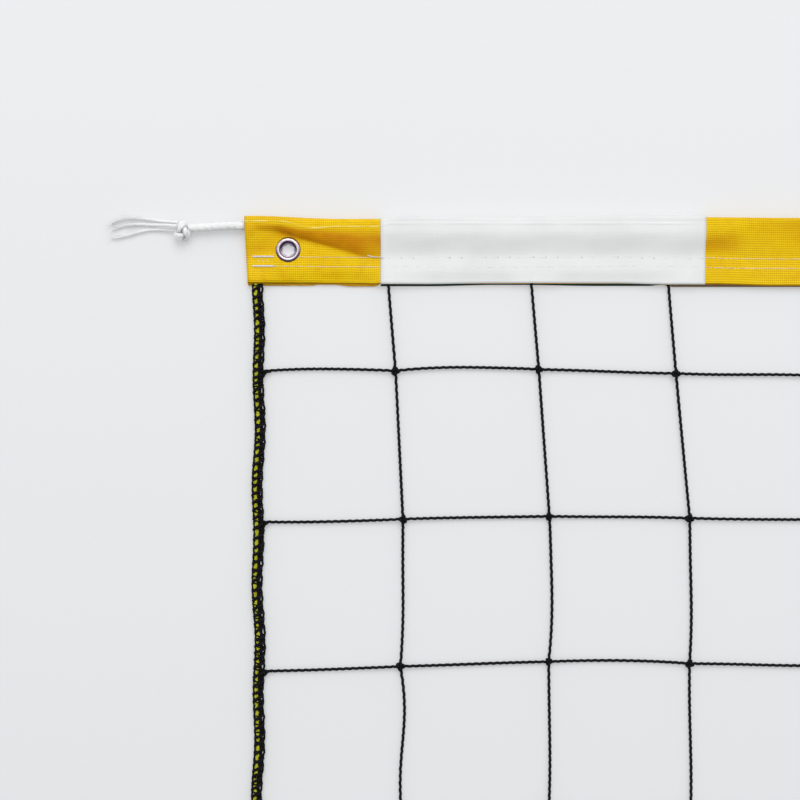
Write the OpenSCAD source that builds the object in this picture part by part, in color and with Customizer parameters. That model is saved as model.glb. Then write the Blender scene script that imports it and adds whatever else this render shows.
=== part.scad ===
// Beach volleyball net, laid out flat.
// The net lies in the XY plane with its headband along +Y. It rests on z = 0 and is centred on X and Y.

/* [Netting] */
// Side of one square mesh
mesh = 100; // [60:5:140]
// Number of meshes along the net
mesh_columns = 85; // [40:1:95]
// Number of mesh rows from the hem to the bottom rope
mesh_rows = 10; // [6:1:12]
// Depth of the top mesh line below the top edge of the headband
mesh_drop = 6; // [2:0.5:12]
// Thickness of the netting twine
twine_d = 1.8; // [1.2:0.1:2.6]
// Gaps along the net that the solid netting is drawn with
drawn_columns = 42; // [10:1:48]
// Gaps down the net that the solid netting is drawn with
drawn_rows = 5; // [3:1:6]

/* [Headband] */
// Depth of the folded tape from its top fold to its free edges
band_w = 46; // [44:1:70]
// Thickness of the coated tape
tape_t = 0.8; // [0.5:0.1:1.2]
// Flat roof of the hem past the cord
roof_run = 0.4; // [0.2:0.1:0.6]
// Run of the slope from the hem's roof down to the flat of the tape
slope_run = 3; // [2.6:0.1:3.2]

/* [Label sleeve] */
// Distance from the end of the band to the sleeve
sleeve_start = 92.5; // [60:0.5:140]
// Length of the sleeve along the band
sleeve_len = 222; // [100:1:300]
// Thickness of the sleeve
sleeve_t = 0.3; // [0.2:0.05:0.5]

/* [Stitching] */
// Depth of the upper stitch row below the top edge
seam_drop = 27.5; // [26:0.5:30]
// Distance between the two stitch rows
seam_gap = 6.5; // [5:0.5:8]
// Width of a row of thread
thread_w = 0.9; // [0.5:0.1:1.4]
// Thickness of the thread on the tape
thread_t = 0.3; // [0.2:0.05:0.4]
// Distance from the end of the band to the bar tack
tack_inset = 4.8; // [3:0.2:6]
// Length of the bar tack
tack_len = 14; // [10:0.5:15]
// Thickness of the bar tack
tack_t = 0.5; // [0.3:0.1:0.8]

/* [Eyelet] */
// Bore of the eyelet
eyelet_bore = 9; // [6:0.5:10]
// Wall of the eyelet's barrel
eyelet_wall = 0.5; // [0.3:0.1:0.6]
// Outer diameter of the eyelet's flange and of its washer
flange_d = 17; // [16:0.5:17]
// Height of the flange above the tape
flange_h = 1.2; // [0.8:0.1:1.8]
// Radius of the rolled mouth of the eyelet
mouth_r = 2; // [1.6:0.1:2.4]
// Thickness of the washer under the tape
washer_t = 0.6; // [0.4:0.1:1]
// Distance from the end of the band to the eyelet's axis
eyelet_inset = 29; // [28.5:0.5:40]
// Depth of the eyelet's axis below the top edge
eyelet_drop = 22.7; // [22.7:0.1:23.5]

/* [Border rope] */
// Diameter of the yellow border rope
rope_d = 4; // [3:0.5:5]
// Distance from the end of the band to the axis of the side rope
rope_inset = 8.6; // [8:0.2:9.4]
// Thickness of the lashing twine where it lies on the rope
lash_t = 0.9; // [0.6:0.1:1.2]
// Width of the lashing twine along the rope
lash_w = 1.8; // [1.2:0.1:3]
// Turns of lashing drawn on each stretch of rope
lash_turns = 24; // [6:1:24]
// Bend radius of the rope at the lower corners
corner_r = 5; // [4:0.5:5.5]
// Distance from the rope's round end to the first turn of lashing
lash_start = 3; // [2.5:0.5:10]
// Width of the flattened rope end sewn into the band
tab_w = 6; // [4:0.5:6.4]
// Depth of the flattened rope end's tip below the top edge
tab_drop = 26; // [24:0.5:27]

/* [Headline] */
// Diameter of the white cord in the hem
headline_d = 6; // [4:0.5:6.5]
// Depth of the cord's axis below the top edge
headline_drop = 7; // [6.6:0.1:7.4]
// Distance from the hem's mouth to the stopper knot
knot_reach = 37; // [30:1:60]
// Depth of the knot's middle below the axis of the cord in the hem
knot_shift = 4; // [3:0.5:5]
// Length of the knot along the cord
knot_len = 11; // [9:0.5:14]
// Width of the knot across the cord
knot_w = 15; // [13:0.5:18]
// Height of the knot
knot_h = 10; // [8.5:0.5:12]
// Diameter of one strand of the opened cord end
strand_d = 2.4; // [1.6:0.1:2.6]

/* [Fits] */
// Gap between pieces that lie side by side or one on another
lay_gap = 0.3; // [0.2:0.05:0.5]
// Gap between the rope and the lashing that is wound on it
wrap_gap = 0.1; // [0.05:0.05:0.3]
// Radial gap between the eyelet's barrel and what it passes through
barrel_gap = 0.1; // [0.05:0.05:0.2]

/* [Hidden] */

yellow = "#dcae10";
white = "#f0f0ec";
black = "#1c1c1c";
rope_yellow = "#b5b81a";
nickel = "#b8b8bc";

// Facets of round parts
round_fn = 64;
fold_steps = 10;
flange_steps = 3;
knot_fn = 16;
// Rings in one turn of lashing, which also lie at its lowest point
lash_rings = 8;
cord_sides = 12;
strand_sides = 8;

// Lengths along X
band_half = (mesh_columns * mesh + 2 * rope_inset) / 2;
rope_x = band_half - rope_inset;

// Heights, from the floor up
tape_low = washer_t;
pocket_low = tape_low + tape_t;
netting_low = pocket_low + lay_gap;
pocket_high = netting_low + twine_d + lay_gap;
tape_high = pocket_high + tape_t;
headline_z = pocket_low + lay_gap + headline_d / 2;
tunnel_high = pocket_low + headline_d + 2 * lay_gap;
fold_r = (tunnel_high - pocket_low) / 2;
fold_z = (tunnel_high + pocket_low) / 2;
fold_drop = fold_r + tape_t;
lash_in = (rope_d / 2 + wrap_gap) / cos(180 / lash_rings);
lash_out = lash_in + lash_t;
rope_z = lash_out;

// Depths below the top edge of the band
slope_top_drop = headline_drop + headline_d / 2 + roof_run;
slope_foot_drop = slope_top_drop + slope_run;
slope_angle = atan((tunnel_high - pocket_high) / slope_run);
selvedge_gap = lash_out + lay_gap + twine_d / 2;
bottom_drop = mesh_drop + mesh_rows * mesh;
rope_top_drop = band_w + 2 * lay_gap;
lash_top_drop = rope_top_drop + lash_start;
tack_drop = seam_drop + seam_gap / 2;
knot_drop = headline_drop + knot_shift;

// The band's top edge along Y, which centres the whole on the origin
top_y = (bottom_drop + lash_out - sleeve_t) / 2;

// Routes of the free cord ends: distance out from the hem's mouth, depth below the top edge, height
end_route = [
    [0, headline_drop, headline_z], [12, headline_drop, headline_z],
    [24, headline_drop + 0.8, headline_z], [knot_reach + 2, headline_drop + 1.6, headline_z]
];
strand_upper_route = [
    [46, 4.5, 4.6], [52, 4, 2.6], [58, 3.4, 1.6], [64, 2.4, 1.5],
    [72, 1.6, 1.5], [80, 1.4, 1.5], [86, 2.8, 1.5], [91, 5.2, 1.5]
];
strand_middle_route = [
    [46, 7.4, 6.8], [52, 6.6, 5.2], [58, 6.2, 3.6], [65, 6, 2],
    [72, 5.6, 1.5], [79, 5.8, 1.5], [86, 7.4, 1.5], [91, 9.4, 1.5]
];
strand_lower_route = [
    [46, 10, 4.6], [52, 9.6, 2.6], [60, 9.2, 1.6], [68, 9.6, 1.5],
    [75, 11.4, 1.5], [83, 13.6, 1.5], [91, 15.2, 1.5]
];

// ---- Tubes along a route ----

function unit(v) = v / norm(v);

function heading(path, i) = unit(path[min(i + 1, len(path) - 1)] - path[max(i - 1, 0)]);

function cord_ring(path, i, r, sides) =
    let (
        along = heading(path, i),
        across = unit(cross(along, [0, 0, 1])),
        up = cross(across, along)
    )
    [for (k = [0:sides - 1]) path[i] + r * (cos(360 * k / sides) * across + sin(360 * k / sides) * up)];

// Triangles between two rings of a tube
function tube_band(i, sides) = [
    for (k = [0:sides - 1])
        let (a = i * sides + k, b = i * sides + (k + 1) % sides)
        each [[a, b, a + sides], [b, b + sides, a + sides]]
];

function tube_faces(rings, sides) = concat(
    [for (i = [0:rings - 2]) each tube_band(i, sides)],
    [for (k = [1:sides - 2]) [0, k + 1, k]],
    [
        for (k = [1:sides - 2])
            let (last = (rings - 1) * sides)
            [last, last + k, last + k + 1]
    ]
);

module tube(path, d, sides) {
    points = [for (i = [0:len(path) - 1]) each cord_ring(path, i, d / 2, sides)];
    polyhedron(points = points, faces = tube_faces(len(path), sides));
}

// A free cord's route, given outwards from the left end of the band
function placed(route) = [for (p = route) [-band_half - p[0], top_y - p[1], p[2]]];

// ---- Headband ----

// Mirrors what is modelled at the left end to the right end
module at_right() {
    mirror([1, 0, 0]) children();
}

// The fold of the tape in the YZ plane, moved outwards from the inside of the pocket by grow
function fold_path(grow) =
    let (
        lean = grow * tan(slope_angle / 2),
        start = [[-band_w, pocket_low - grow]],
        arc = [
            for (i = [0:fold_steps])
                let (a = -90 + 180 * i / fold_steps)
                [-fold_drop + (fold_r + grow) * cos(a), fold_z + (fold_r + grow) * sin(a)]
        ],
        roof = [
            [-slope_top_drop - lean, tunnel_high + grow],
            [-slope_foot_drop - lean, pocket_high + grow],
            [-band_w, pocket_high + grow]
        ]
    )
    concat(start, arc, roof);

function reversed(path) = [for (i = [len(path) - 1:-1:0]) path[i]];

// A layer of the fold between two offsets, run along X
module fold_layer(inner, outer, x, length) {
    translate([x, top_y, 0])
        rotate([90, 0, 90])
            linear_extrude(length)
                polygon(concat(fold_path(outer), reversed(fold_path(inner))));
}

module headband() {
    hole_r = eyelet_bore / 2 + eyelet_wall + barrel_gap;
    color(yellow)
        difference() {
            fold_layer(0, tape_t, -band_half, 2 * band_half);
            for (side = [-1, 1])
                translate([side * (band_half - eyelet_inset), top_y - eyelet_drop, -tape_t])
                    cylinder(h = tape_high + 2 * tape_t, r = hole_r, $fn = round_fn);
        }
}

module label_sleeve_left() {
    color(white)
        fold_layer(tape_t, tape_t + sleeve_t, -band_half + sleeve_start, sleeve_len);
}

module label_sleeve_right() {
    at_right() label_sleeve_left();
}

// ---- Stitching ----

// A box given by its depth below the band's top edge, and by its lowest and highest corners along X and Z
module strip(x_low, x_high, drop, width, z_low, z_high) {
    translate([x_low, top_y - drop - width / 2, z_low])
        cube([x_high - x_low, width, z_high - z_low]);
}

// One side of a stitch row: on the tape, and stepped out over the sleeve
module row_left(drop, start, z, out) {
    sleeve_low = -band_half + sleeve_start;
    sleeve_high = sleeve_low + sleeve_len;
    step = out * sleeve_t;
    thread = out * thread_t;
    over = 2 * lay_gap;
    strip(-band_half + start, sleeve_low - lay_gap, drop, thread_w, min(z, z + thread), max(z, z + thread));
    strip(
        sleeve_low - over - lay_gap, sleeve_high + over + lay_gap, drop, thread_w,
        min(z + step, z + step + thread), max(z + step, z + step + thread)
    );
    strip(sleeve_high + lay_gap, 0, drop, thread_w, min(z, z + thread), max(z, z + thread));
}

module row(drop, start) {
    for (side = [0, 1])
        mirror([side, 0, 0]) {
            row_left(drop, start, tape_high, 1);
            row_left(drop, start, tape_low, -1);
        }
}

module seam_upper() {
    color(white)
        row(seam_drop, eyelet_inset + flange_d / 2 + lay_gap);
}

module seam_lower() {
    color(white)
        row(seam_drop + seam_gap, tack_inset + tack_len + lay_gap);
}

// Two heavy rows joined by slanting stitches
module bar_tack_left() {
    bars = 3;
    rail = 2 * thread_w;
    pitch = tack_len / bars;
    height = seam_gap + rail;
    color(white)
        translate([-band_half + tack_inset, top_y - tack_drop - height / 2, tape_high])
            linear_extrude(tack_t) {
                square([tack_len, rail]);
                translate([0, height - rail]) square([tack_len, rail]);
                for (i = [0:bars - 1])
                    translate([i * pitch, 0])
                        polygon([
                            [0, 0], [thread_w, 0], [pitch, height], [pitch - thread_w, height]
                        ]);
            }
}

module bar_tack_right() {
    at_right() bar_tack_left();
}

// ---- Eyelets ----

module at_left_eyelet() {
    translate([-band_half + eyelet_inset, top_y - eyelet_drop, 0]) children();
}

module eyelet_left() {
    bore_r = eyelet_bore / 2;
    barrel_r = bore_r + eyelet_wall;
    crest_r = bore_r + mouth_r;
    crest_z = tape_high + flange_h;
    mouth = [
        for (i = [0:flange_steps])
            let (a = 90 * i / flange_steps)
            [crest_r - mouth_r * cos(a), crest_z - mouth_r + mouth_r * sin(a)]
    ];
    rim = [
        for (i = [1:flange_steps])
            let (a = 90 - 90 * i / flange_steps)
            [crest_r + (flange_d / 2 - crest_r) * cos(a), tape_high + flange_h * sin(a)]
    ];
    color(nickel)
        at_left_eyelet()
            rotate_extrude($fn = round_fn)
                polygon(concat([[bore_r, 0]], mouth, rim, [[barrel_r, tape_high], [barrel_r, 0]]));
}

module eyelet_right() {
    at_right() eyelet_left();
}

module eyelet_washer_left() {
    hole_r = eyelet_bore / 2 + eyelet_wall + barrel_gap;
    color(nickel)
        at_left_eyelet()
            difference() {
                cylinder(h = washer_t, d = flange_d, $fn = round_fn);
                translate([0, 0, -washer_t])
                    cylinder(h = 3 * washer_t, r = hole_r, $fn = round_fn);
            }
}

module eyelet_washer_right() {
    at_right() eyelet_washer_left();
}

// ---- Netting ----

// The netting's corner twines lie against the lashing, and its top twine lies between the stitch rows
module netting() {
    half = rope_x - selvedge_gap;
    high_drop = tack_drop;
    low_drop = bottom_drop - selvedge_gap;
    column = 2 * half / drawn_columns;
    row_pitch = (bottom_drop - mesh_drop) / drawn_rows;
    color(black) {
        for (i = [0:drawn_columns])
            translate([-half + i * column - twine_d / 2, top_y - low_drop - twine_d / 2, netting_low])
                cube([twine_d, low_drop - high_drop + twine_d, twine_d]);
        for (i = [1:drawn_rows - 1])
            strip(-half, half, mesh_drop + i * row_pitch, twine_d, netting_low, netting_low + twine_d);
        strip(-half, half, high_drop, twine_d, netting_low, netting_low + twine_d);
        strip(-half, half, low_drop, twine_d, netting_low, netting_low + twine_d);
    }
}

// ---- Border rope and its lashing ----

// The side rope, with its upper end pressed flat between the layers of the tape
module border_rope_left() {
    low_drop = bottom_drop - corner_r;
    color(rope_yellow) {
        translate([-rope_x, top_y - low_drop, rope_z])
            rotate([-90, 0, 0])
                cylinder(h = low_drop - rope_top_drop, d = rope_d, $fn = round_fn);
        translate([-rope_x - tab_w / 2, top_y - rope_top_drop - rope_d / 2, netting_low])
            cube([tab_w, rope_top_drop + rope_d / 2 - tab_drop, twine_d]);
    }
}

module border_rope_right() {
    at_right() border_rope_left();
}

// A quarter bend from the side rope into the bottom rope
module rope_bend() {
    translate([-rope_x + corner_r, top_y - bottom_drop + corner_r, rope_z])
        rotate([0, 0, 180])
            rotate_extrude(angle = 90, $fn = round_fn)
                translate([corner_r, 0]) circle(d = rope_d, $fn = round_fn);
}

module border_rope_bottom() {
    half = rope_x - corner_r;
    color(rope_yellow) {
        translate([-half, top_y - bottom_drop, rope_z])
            rotate([0, 90, 0])
                cylinder(h = 2 * half, d = rope_d, $fn = round_fn);
        rope_bend();
        at_right() rope_bend();
    }
}

// The middle of the twine at one ring of its winding round the Z axis
lash_mid = (lash_in + lash_out) / 2;

function lash_centre(i, pitch) =
    let (a = 360 * i / lash_rings)
    [lash_mid * cos(a), lash_mid * sin(a), pitch * i / lash_rings];

// A flat section of twine, square to its run
function lash_ring(i, pitch) =
    let (
        a = 360 * i / lash_rings,
        outward = [cos(a), sin(a), 0],
        run = unit([-2 * PI * lash_mid * sin(a), 2 * PI * lash_mid * cos(a), pitch]),
        across = cross(outward, run)
    )
    [
        for (corner = [[-1, -1], [1, -1], [1, 1], [-1, 1]])
            lash_centre(i, pitch) + corner[0] * lash_t / 2 * outward + corner[1] * lash_w / 2 * across
    ];

function lash_pitch(length) = (length - lash_w) / lash_turns;

// The least distance between one turn and the next, taken on the points of the winding
function lash_clear(length) =
    let (pitch = lash_pitch(length))
    min([
        for (i = [0:lash_rings * (lash_turns - 1)])
            norm(lash_centre(i + lash_rings, pitch) - lash_centre(i, pitch)) - lash_w
    ]);

module lashing(length) {
    pitch = lash_pitch(length);
    rings = lash_rings * lash_turns + 1;
    points = [for (i = [0:rings - 1]) each lash_ring(i, pitch)];
    translate([0, 0, lash_w / 2])
        polyhedron(points = points, faces = tube_faces(rings, 4));
}

side_lash_len = bottom_drop - corner_r - lash_top_drop - lash_w;
bottom_lash_len = 2 * (rope_x - corner_r - lash_w);
echo(str("Least gap between turns of the side lashing: ", lash_clear(side_lash_len), " mm"));
echo(str("Least gap between turns of the bottom lashing: ", lash_clear(bottom_lash_len), " mm"));

module lashing_left() {
    color(black)
        translate([-rope_x, top_y - lash_top_drop, rope_z])
            rotate([90, 0, 0])
                lashing(side_lash_len);
}

module lashing_right() {
    at_right() lashing_left();
}

module lashing_bottom() {
    color(black)
        translate([-bottom_lash_len / 2, top_y - bottom_drop, rope_z])
            rotate([0, 90, 0])
                lashing(bottom_lash_len);
}

// ---- Headline cord ----

module headline() {
    color(white)
        translate([-band_half, top_y - headline_drop, headline_z])
            rotate([0, 90, 0])
                cylinder(h = 2 * band_half, d = headline_d, $fn = round_fn);
}

module headline_end_left() {
    color(white) tube(placed(end_route), headline_d, cord_sides);
}

module headline_end_right() {
    at_right() headline_end_left();
}

// The knot's outer shape: two crossing lobes
module stopper_knot_left() {
    lobe = knot_h;
    reach = (knot_w - lobe) / 2;
    middle = -band_half - knot_reach - knot_len / 2;
    color(white)
        hull()
            for (side = [-1, 1])
                translate([
                    middle + side * (knot_len - lobe) / 2, top_y - knot_drop + side * reach, lay_gap + lobe / 2
                ])
                    sphere(d = lobe, $fn = knot_fn);
}

module stopper_knot_right() {
    at_right() stopper_knot_left();
}

module strand_upper_left() {
    color(white) tube(placed(strand_upper_route), strand_d, strand_sides);
}

module strand_middle_left() {
    color(white) tube(placed(strand_middle_route), strand_d, strand_sides);
}

module strand_lower_left() {
    color(white) tube(placed(strand_lower_route), strand_d, strand_sides);
}

module strand_upper_right() {
    at_right() strand_upper_left();
}

module strand_middle_right() {
    at_right() strand_middle_left();
}

module strand_lower_right() {
    at_right() strand_lower_left();
}

headband();
label_sleeve_left();
label_sleeve_right();
seam_upper();
seam_lower();
bar_tack_left();
bar_tack_right();
eyelet_left();
eyelet_right();
eyelet_washer_left();
eyelet_washer_right();
netting();
border_rope_left();
border_rope_right();
border_rope_bottom();
lashing_left();
lashing_right();
lashing_bottom();
headline();
headline_end_left();
headline_end_right();
stopper_knot_left();
stopper_knot_right();
strand_upper_left();
strand_middle_left();
strand_lower_left();
strand_upper_right();
strand_middle_right();
strand_lower_right();
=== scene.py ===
# %% [markdown]
# # A volleyball net, laid out flat
# This script only dresses them. It gives every piece the surface, the twist and the slack that a sewn,
# knotted and roped thing has.
#
# The net lies in the XY plane. Its headband runs along +Y, and the floor is at Z = 0. The left and the
# right end are mirror images, so nearly every piece is described from an end of the band inwards.

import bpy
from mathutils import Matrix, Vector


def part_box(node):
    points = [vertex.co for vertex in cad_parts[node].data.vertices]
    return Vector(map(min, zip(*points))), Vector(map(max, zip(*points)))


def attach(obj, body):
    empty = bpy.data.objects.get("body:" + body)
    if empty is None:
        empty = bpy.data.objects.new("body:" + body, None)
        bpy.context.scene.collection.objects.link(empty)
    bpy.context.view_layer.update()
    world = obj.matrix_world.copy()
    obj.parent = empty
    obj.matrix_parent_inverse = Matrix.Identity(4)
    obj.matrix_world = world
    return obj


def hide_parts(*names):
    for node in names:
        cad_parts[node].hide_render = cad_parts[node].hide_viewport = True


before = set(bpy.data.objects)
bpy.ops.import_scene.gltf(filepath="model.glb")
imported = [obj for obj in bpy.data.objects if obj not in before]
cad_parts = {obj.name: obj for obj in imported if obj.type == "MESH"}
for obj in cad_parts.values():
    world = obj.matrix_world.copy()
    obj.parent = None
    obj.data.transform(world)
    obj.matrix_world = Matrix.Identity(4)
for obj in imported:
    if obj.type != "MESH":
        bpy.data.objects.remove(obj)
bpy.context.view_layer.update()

import bpy
import bmesh
import math
import numpy as np

scene = bpy.context.scene
MM = 0.001
LEFT, RIGHT = -1, 1
SIDES = {"left": LEFT, "right": RIGHT}

# %% [markdown]
# ## Measuring from the band
# A maker measures this net from the end of the headband and down from its top edge, in millimetres.
# `place` turns such a measure into a point of the frame. The band's own solid says where its end and
# its top edge are, so every piece below follows the CAD model when its sizes change.

# %% A maker's measures
band_low, band_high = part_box("headband")
BAND_HALF = band_high.x
BAND_LONG = 2 * BAND_HALF / MM
BAND_TOP = band_high.y
BAND_DEPTH = (band_high.y - band_low.y) / MM


def place(end, inward, drop, height):
    """Points in metres, from millimetres in from the band's end, down from its top edge and up."""
    inward, drop, height = np.broadcast_arrays(inward, drop, height)
    x = end * (BAND_HALF - inward * MM)
    return np.stack([x, BAND_TOP - drop * MM, height * MM], -1).astype(float)


def ease(value, start=0.0, stop=1.0):
    """Runs smoothly from 0 at start to 1 at stop."""
    t = np.clip((np.asarray(value, float) - start) / (stop - start), 0, 1)
    return t * t * (3 - 2 * t)


print("band: half length", round(BAND_HALF, 4), "m, depth", round(BAND_DEPTH, 1), "mm")

# %% [markdown]
# ## The camera
# The camera hangs above the left end of the net and looks straight down, so what it sees is a plan.
# A long lens from over a metre up keeps the thick hem from leaning outwards near the picture's edge.

# %% Camera
VIEW_INWARD = 105.5
VIEW_DROP = 125.7
VIEW_WIDTH = 548.0
LENS = 80.0
SENSOR = 36.0

camera_data = bpy.data.cameras.new("camera")
camera_data.lens = LENS
camera_data.sensor_width = SENSOR
camera_height = VIEW_WIDTH * LENS / SENSOR
camera = bpy.data.objects.new("camera", camera_data)
camera.location = place(LEFT, VIEW_INWARD, VIEW_DROP, camera_height)
scene.collection.objects.link(camera)
scene.camera = camera
print("camera height:", round(camera.location.z, 3), "m")

# %% [markdown]
# ## Tubes with a lay
# Rope, cord and twine are all yarns twisted together, and what tells them from a plain hose is the
# groove that winds round them. A tube whose section is a few soft lobes, turned a little further at
# each ring, has that groove in its outline. It is one closed skin, which suits a cord better than
# three tubes that run through each other.
#
# `smooth_path` puts a soft curve through a few chosen points, and `lay_tube` carries the lobed section
# along it. The UV map holds the distance along the tube and round one turn of the lay, so that fibres
# can be drawn along the yarns later.

# %% Smooth paths
def smooth_path(points, step):
    """A Catmull-Rom curve through the points, cut into equal steps of about that length."""
    p = np.asarray(points, float)
    ends = np.vstack([2 * p[0] - p[1], p, 2 * p[-1] - p[-2]])
    t = np.linspace(0, 1, 24, endpoint=False)[:, None]
    parts = []
    for a, b, c, d in zip(ends, ends[1:], ends[2:], ends[3:]):
        bend = 2 * a - 5 * b + 4 * c - d
        turn = 3 * b - a - 3 * c + d
        parts.append(0.5 * (2 * b + (c - a) * t + bend * t**2 + turn * t**3))
    fine = np.vstack(parts + [p[-1:]])
    run = path_run(fine)
    count = max(int(round(run[-1] / step)), 2) + 1
    even = np.linspace(0, run[-1], count)
    return np.stack([np.interp(even, run, fine[:, k]) for k in range(3)], -1)


def path_run(path):
    """Distance along a path at each of its points."""
    return np.concatenate([[0], np.cumsum(np.linalg.norm(np.diff(path, axis=0), axis=1))])


def path_frames(path):
    """Tangent, side and up at each point of a path, with no twist between them."""
    along = np.gradient(path, axis=0)
    along /= np.linalg.norm(along, axis=1)[:, None]
    first = np.cross(along[0], (0, 0, 1.0))
    if np.linalg.norm(first) < 1e-6:
        first = np.array((1.0, 0, 0))
    side = [first / np.linalg.norm(first)]
    for tangent in along[1:]:
        s = side[-1] - tangent * np.dot(side[-1], tangent)
        side.append(s / np.linalg.norm(s))
    side = np.array(side)
    return along, side, np.cross(side, along)


arch = smooth_path([(0, 0, 0), (50, 20, 0), (100, 0, 0)], 5)
print("a smooth arch over 100 mm:", round(path_run(arch)[-1], 1), "mm long,", len(arch), "points")

# %% A skin on rows of points
def new_piece(name, mesh):
    piece = bpy.data.objects.new(name, mesh)
    scene.collection.objects.link(piece)
    return piece


def facing_out(mesh, fill=False):
    """Turns all faces of a mesh outwards and smooths them. fill closes its open rims first."""
    shape = bmesh.new()
    shape.from_mesh(mesh)
    if fill:
        bmesh.ops.holes_fill(shape, edges=[e for e in shape.edges if e.is_boundary], sides=0)
    bmesh.ops.recalc_face_normals(shape, faces=shape.faces)
    shape.to_mesh(mesh)
    shape.free()
    mesh.shade_smooth()
    return mesh


def grid_mesh(name, points, uv, caps=(), fold=None):
    """A mesh on rows of points, each closed into a ring. uv and fold have one more column than points."""
    rows, columns = points.shape[:2]
    i = np.arange(rows - 1)[:, None]
    k = np.arange(columns)[None, :]
    near, far = i * columns + k, i * columns + (k + 1) % columns
    quads = np.stack([near, far, far + columns, near + columns], -1).reshape(-1, 4)
    corner = np.stack(np.broadcast_arrays(
        *[np.stack(np.broadcast_arrays(i + di, k + dk), -1) for di, dk in ((0, 0), (0, 1), (1, 1), (1, 0))]
    ), -2).reshape(-1, 2)
    loops = uv[corner[:, 0], corner[:, 1]]
    faces = quads.tolist()
    for row, tip in caps:
        start = row * columns
        faces += [[start + c, start + (c + 1) % columns, rows * columns + tip] for c in range(columns)]
        middle = uv[row].mean(0)
        for c in range(columns):
            loops = np.vstack([loops, uv[row, c], uv[row, c + 1], middle])
    tips = [points[row].mean(0) for row, _ in caps]
    mesh = bpy.data.meshes.new(name)
    mesh.from_pydata(points.reshape(-1, 3).tolist() + tips, [], faces)
    layer = mesh.uv_layers.new(name="lay")
    layer.data.foreach_set("uv", loops.astype(np.float32).ravel())
    if fold is not None:
        layer = mesh.uv_layers.new(name="fold")
        layer.data.foreach_set("uv", fold[corner[:, 0], corner[:, 1]].astype(np.float32).ravel())
    return facing_out(mesh)


print("skins ready")

# %% Lobed tubes
def lay_tube(name, path, radius, lobes, pitch, depth, sides, hand=1, taper=None):
    """A twisted tube: lobes yarns laid round each other once in every pitch, with grooves of that depth."""
    run = path_run(path)
    _, side, up = path_frames(path)
    angle = np.linspace(0, 2 * np.pi, sides + 1)
    turned = angle[None, :] - hand * 2 * np.pi * run[:, None] / pitch
    lobe = np.abs(np.cos(turned * lobes / 2))
    size = radius * (1 - depth * (1 - lobe) ** 1.4)
    if taper is not None:
        size = size * taper(run / run[-1])[:, None]
    spokes = np.cos(angle)[:, None] * side[:, None, :] + np.sin(angle)[:, None] * up[:, None, :]
    rings = path[:, None, :] + size[:, :, None] * spokes
    uv = np.stack(np.broadcast_arrays(run[:, None], turned * radius), -1)
    return grid_mesh(name, rings[:, :-1], uv, [(0, 0), (len(path) - 1, 1)])


print("lobed tubes ready")

# %% [markdown]
# ## The free cord ends
# A white cord of 6 mm runs through the hem and comes out at both ends of the band. About 4 cm out it is tied
# in a stopper knot, and past the knot its three strands have come apart and fan out on the floor. Each of
# those is a free cord of a real length.
#
# The route points are the ones the CAD solids were swept along: millimetres out from the hem's mouth,
# below the band's top edge, and up. The cord is limp, so it drops to the floor soon after the knot.

# %% Routes of the cord ends
CORD_D, CORD_LAY, CORD_GROOVE, CORD_SIDES = 6.0, 15.0, 0.36, 36
STRAND_D, STRAND_LAY, STRAND_GROOVE, STRAND_SIDES = 2.4, 7.0, 0.3, 14
HEADLINE_DROP = 7
hem_low, hem_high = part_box("headline")
HEADLINE_Z = (hem_low[2] + hem_high[2]) / 2 / MM
END_ROUTE = [
    (0, HEADLINE_DROP, HEADLINE_Z), (12, HEADLINE_DROP, HEADLINE_Z),
    (24, HEADLINE_DROP + 0.8, HEADLINE_Z), (39, HEADLINE_DROP + 1.6, HEADLINE_Z),
]
STRAND_ROUTES = {
    "upper": [
        (46, 4.5, 4.6), (52, 4, 2.6), (58, 3.4, 1.6), (64, 2.4, 1.5),
        (72, 1.6, 1.5), (80, 1.4, 1.5), (86, 2.8, 1.5), (91, 5.2, 1.5),
    ],
    "middle": [
        (46, 7.4, 6.8), (52, 6.6, 5.2), (58, 6.2, 3.6), (65, 6, 2),
        (72, 5.6, 1.5), (79, 5.8, 1.5), (86, 7.4, 1.5), (91, 9.4, 1.5),
    ],
    "lower": [
        (46, 10, 4.6), (52, 9.6, 2.6), (60, 9.2, 1.6), (68, 9.6, 1.5),
        (75, 11.4, 1.5), (83, 13.6, 1.5), (91, 15.2, 1.5),
    ],
}


def route_points(end, route):
    out, drop, height = np.array(route, float).T
    return place(end, -out, drop, height)


def cord_tube(name, path, end):
    """A run of the white cord: three strands, which wind the other way at the other end."""
    tube = lay_tube(name, path, CORD_D / 2 * MM, 3, CORD_LAY * MM, CORD_GROOVE, CORD_SIDES, hand=end)
    return new_piece(name, tube)


for label, route in {"end": END_ROUTE, **STRAND_ROUTES}.items():
    length = path_run(smooth_path(route_points(LEFT, route), 2 * MM))[-1]
    print(f"cord {label}: {length / MM:.1f} mm")

# %% [markdown]
# ## Cords, stopper knots and frayed tips
# The strands are two yarns each, and the cord is three strands. The stopper is an overhand knot drawn
# tight: its line is that of a trefoil, squeezed until the turns of cord press into each other.
#
# A cut end of soft cord opens into loose fibres. Each tip gets a tuft of thin tapered hairs that start
# inside the strand and spread, drawn from one fixed seed so that the net is the same at every run.

# %% Materials start empty and are filled in near the end
FINISHES = ["coated_tape", "white_sleeve", "thread", "nickel", "black_twine", "yellow_rope", "white_cord"]
finish = {name: bpy.data.materials.new(name) for name in FINISHES}


def dress(piece, body, slot, *nodes):
    """Gives a finished piece its material and its body, and hides the solids that it stands for."""
    piece.data.materials.clear()
    piece.data.materials.append(finish[slot])
    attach(piece, body)
    if nodes:
        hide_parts(*nodes)
    return piece


print("finishes to come:", ", ".join(FINISHES))

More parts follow.
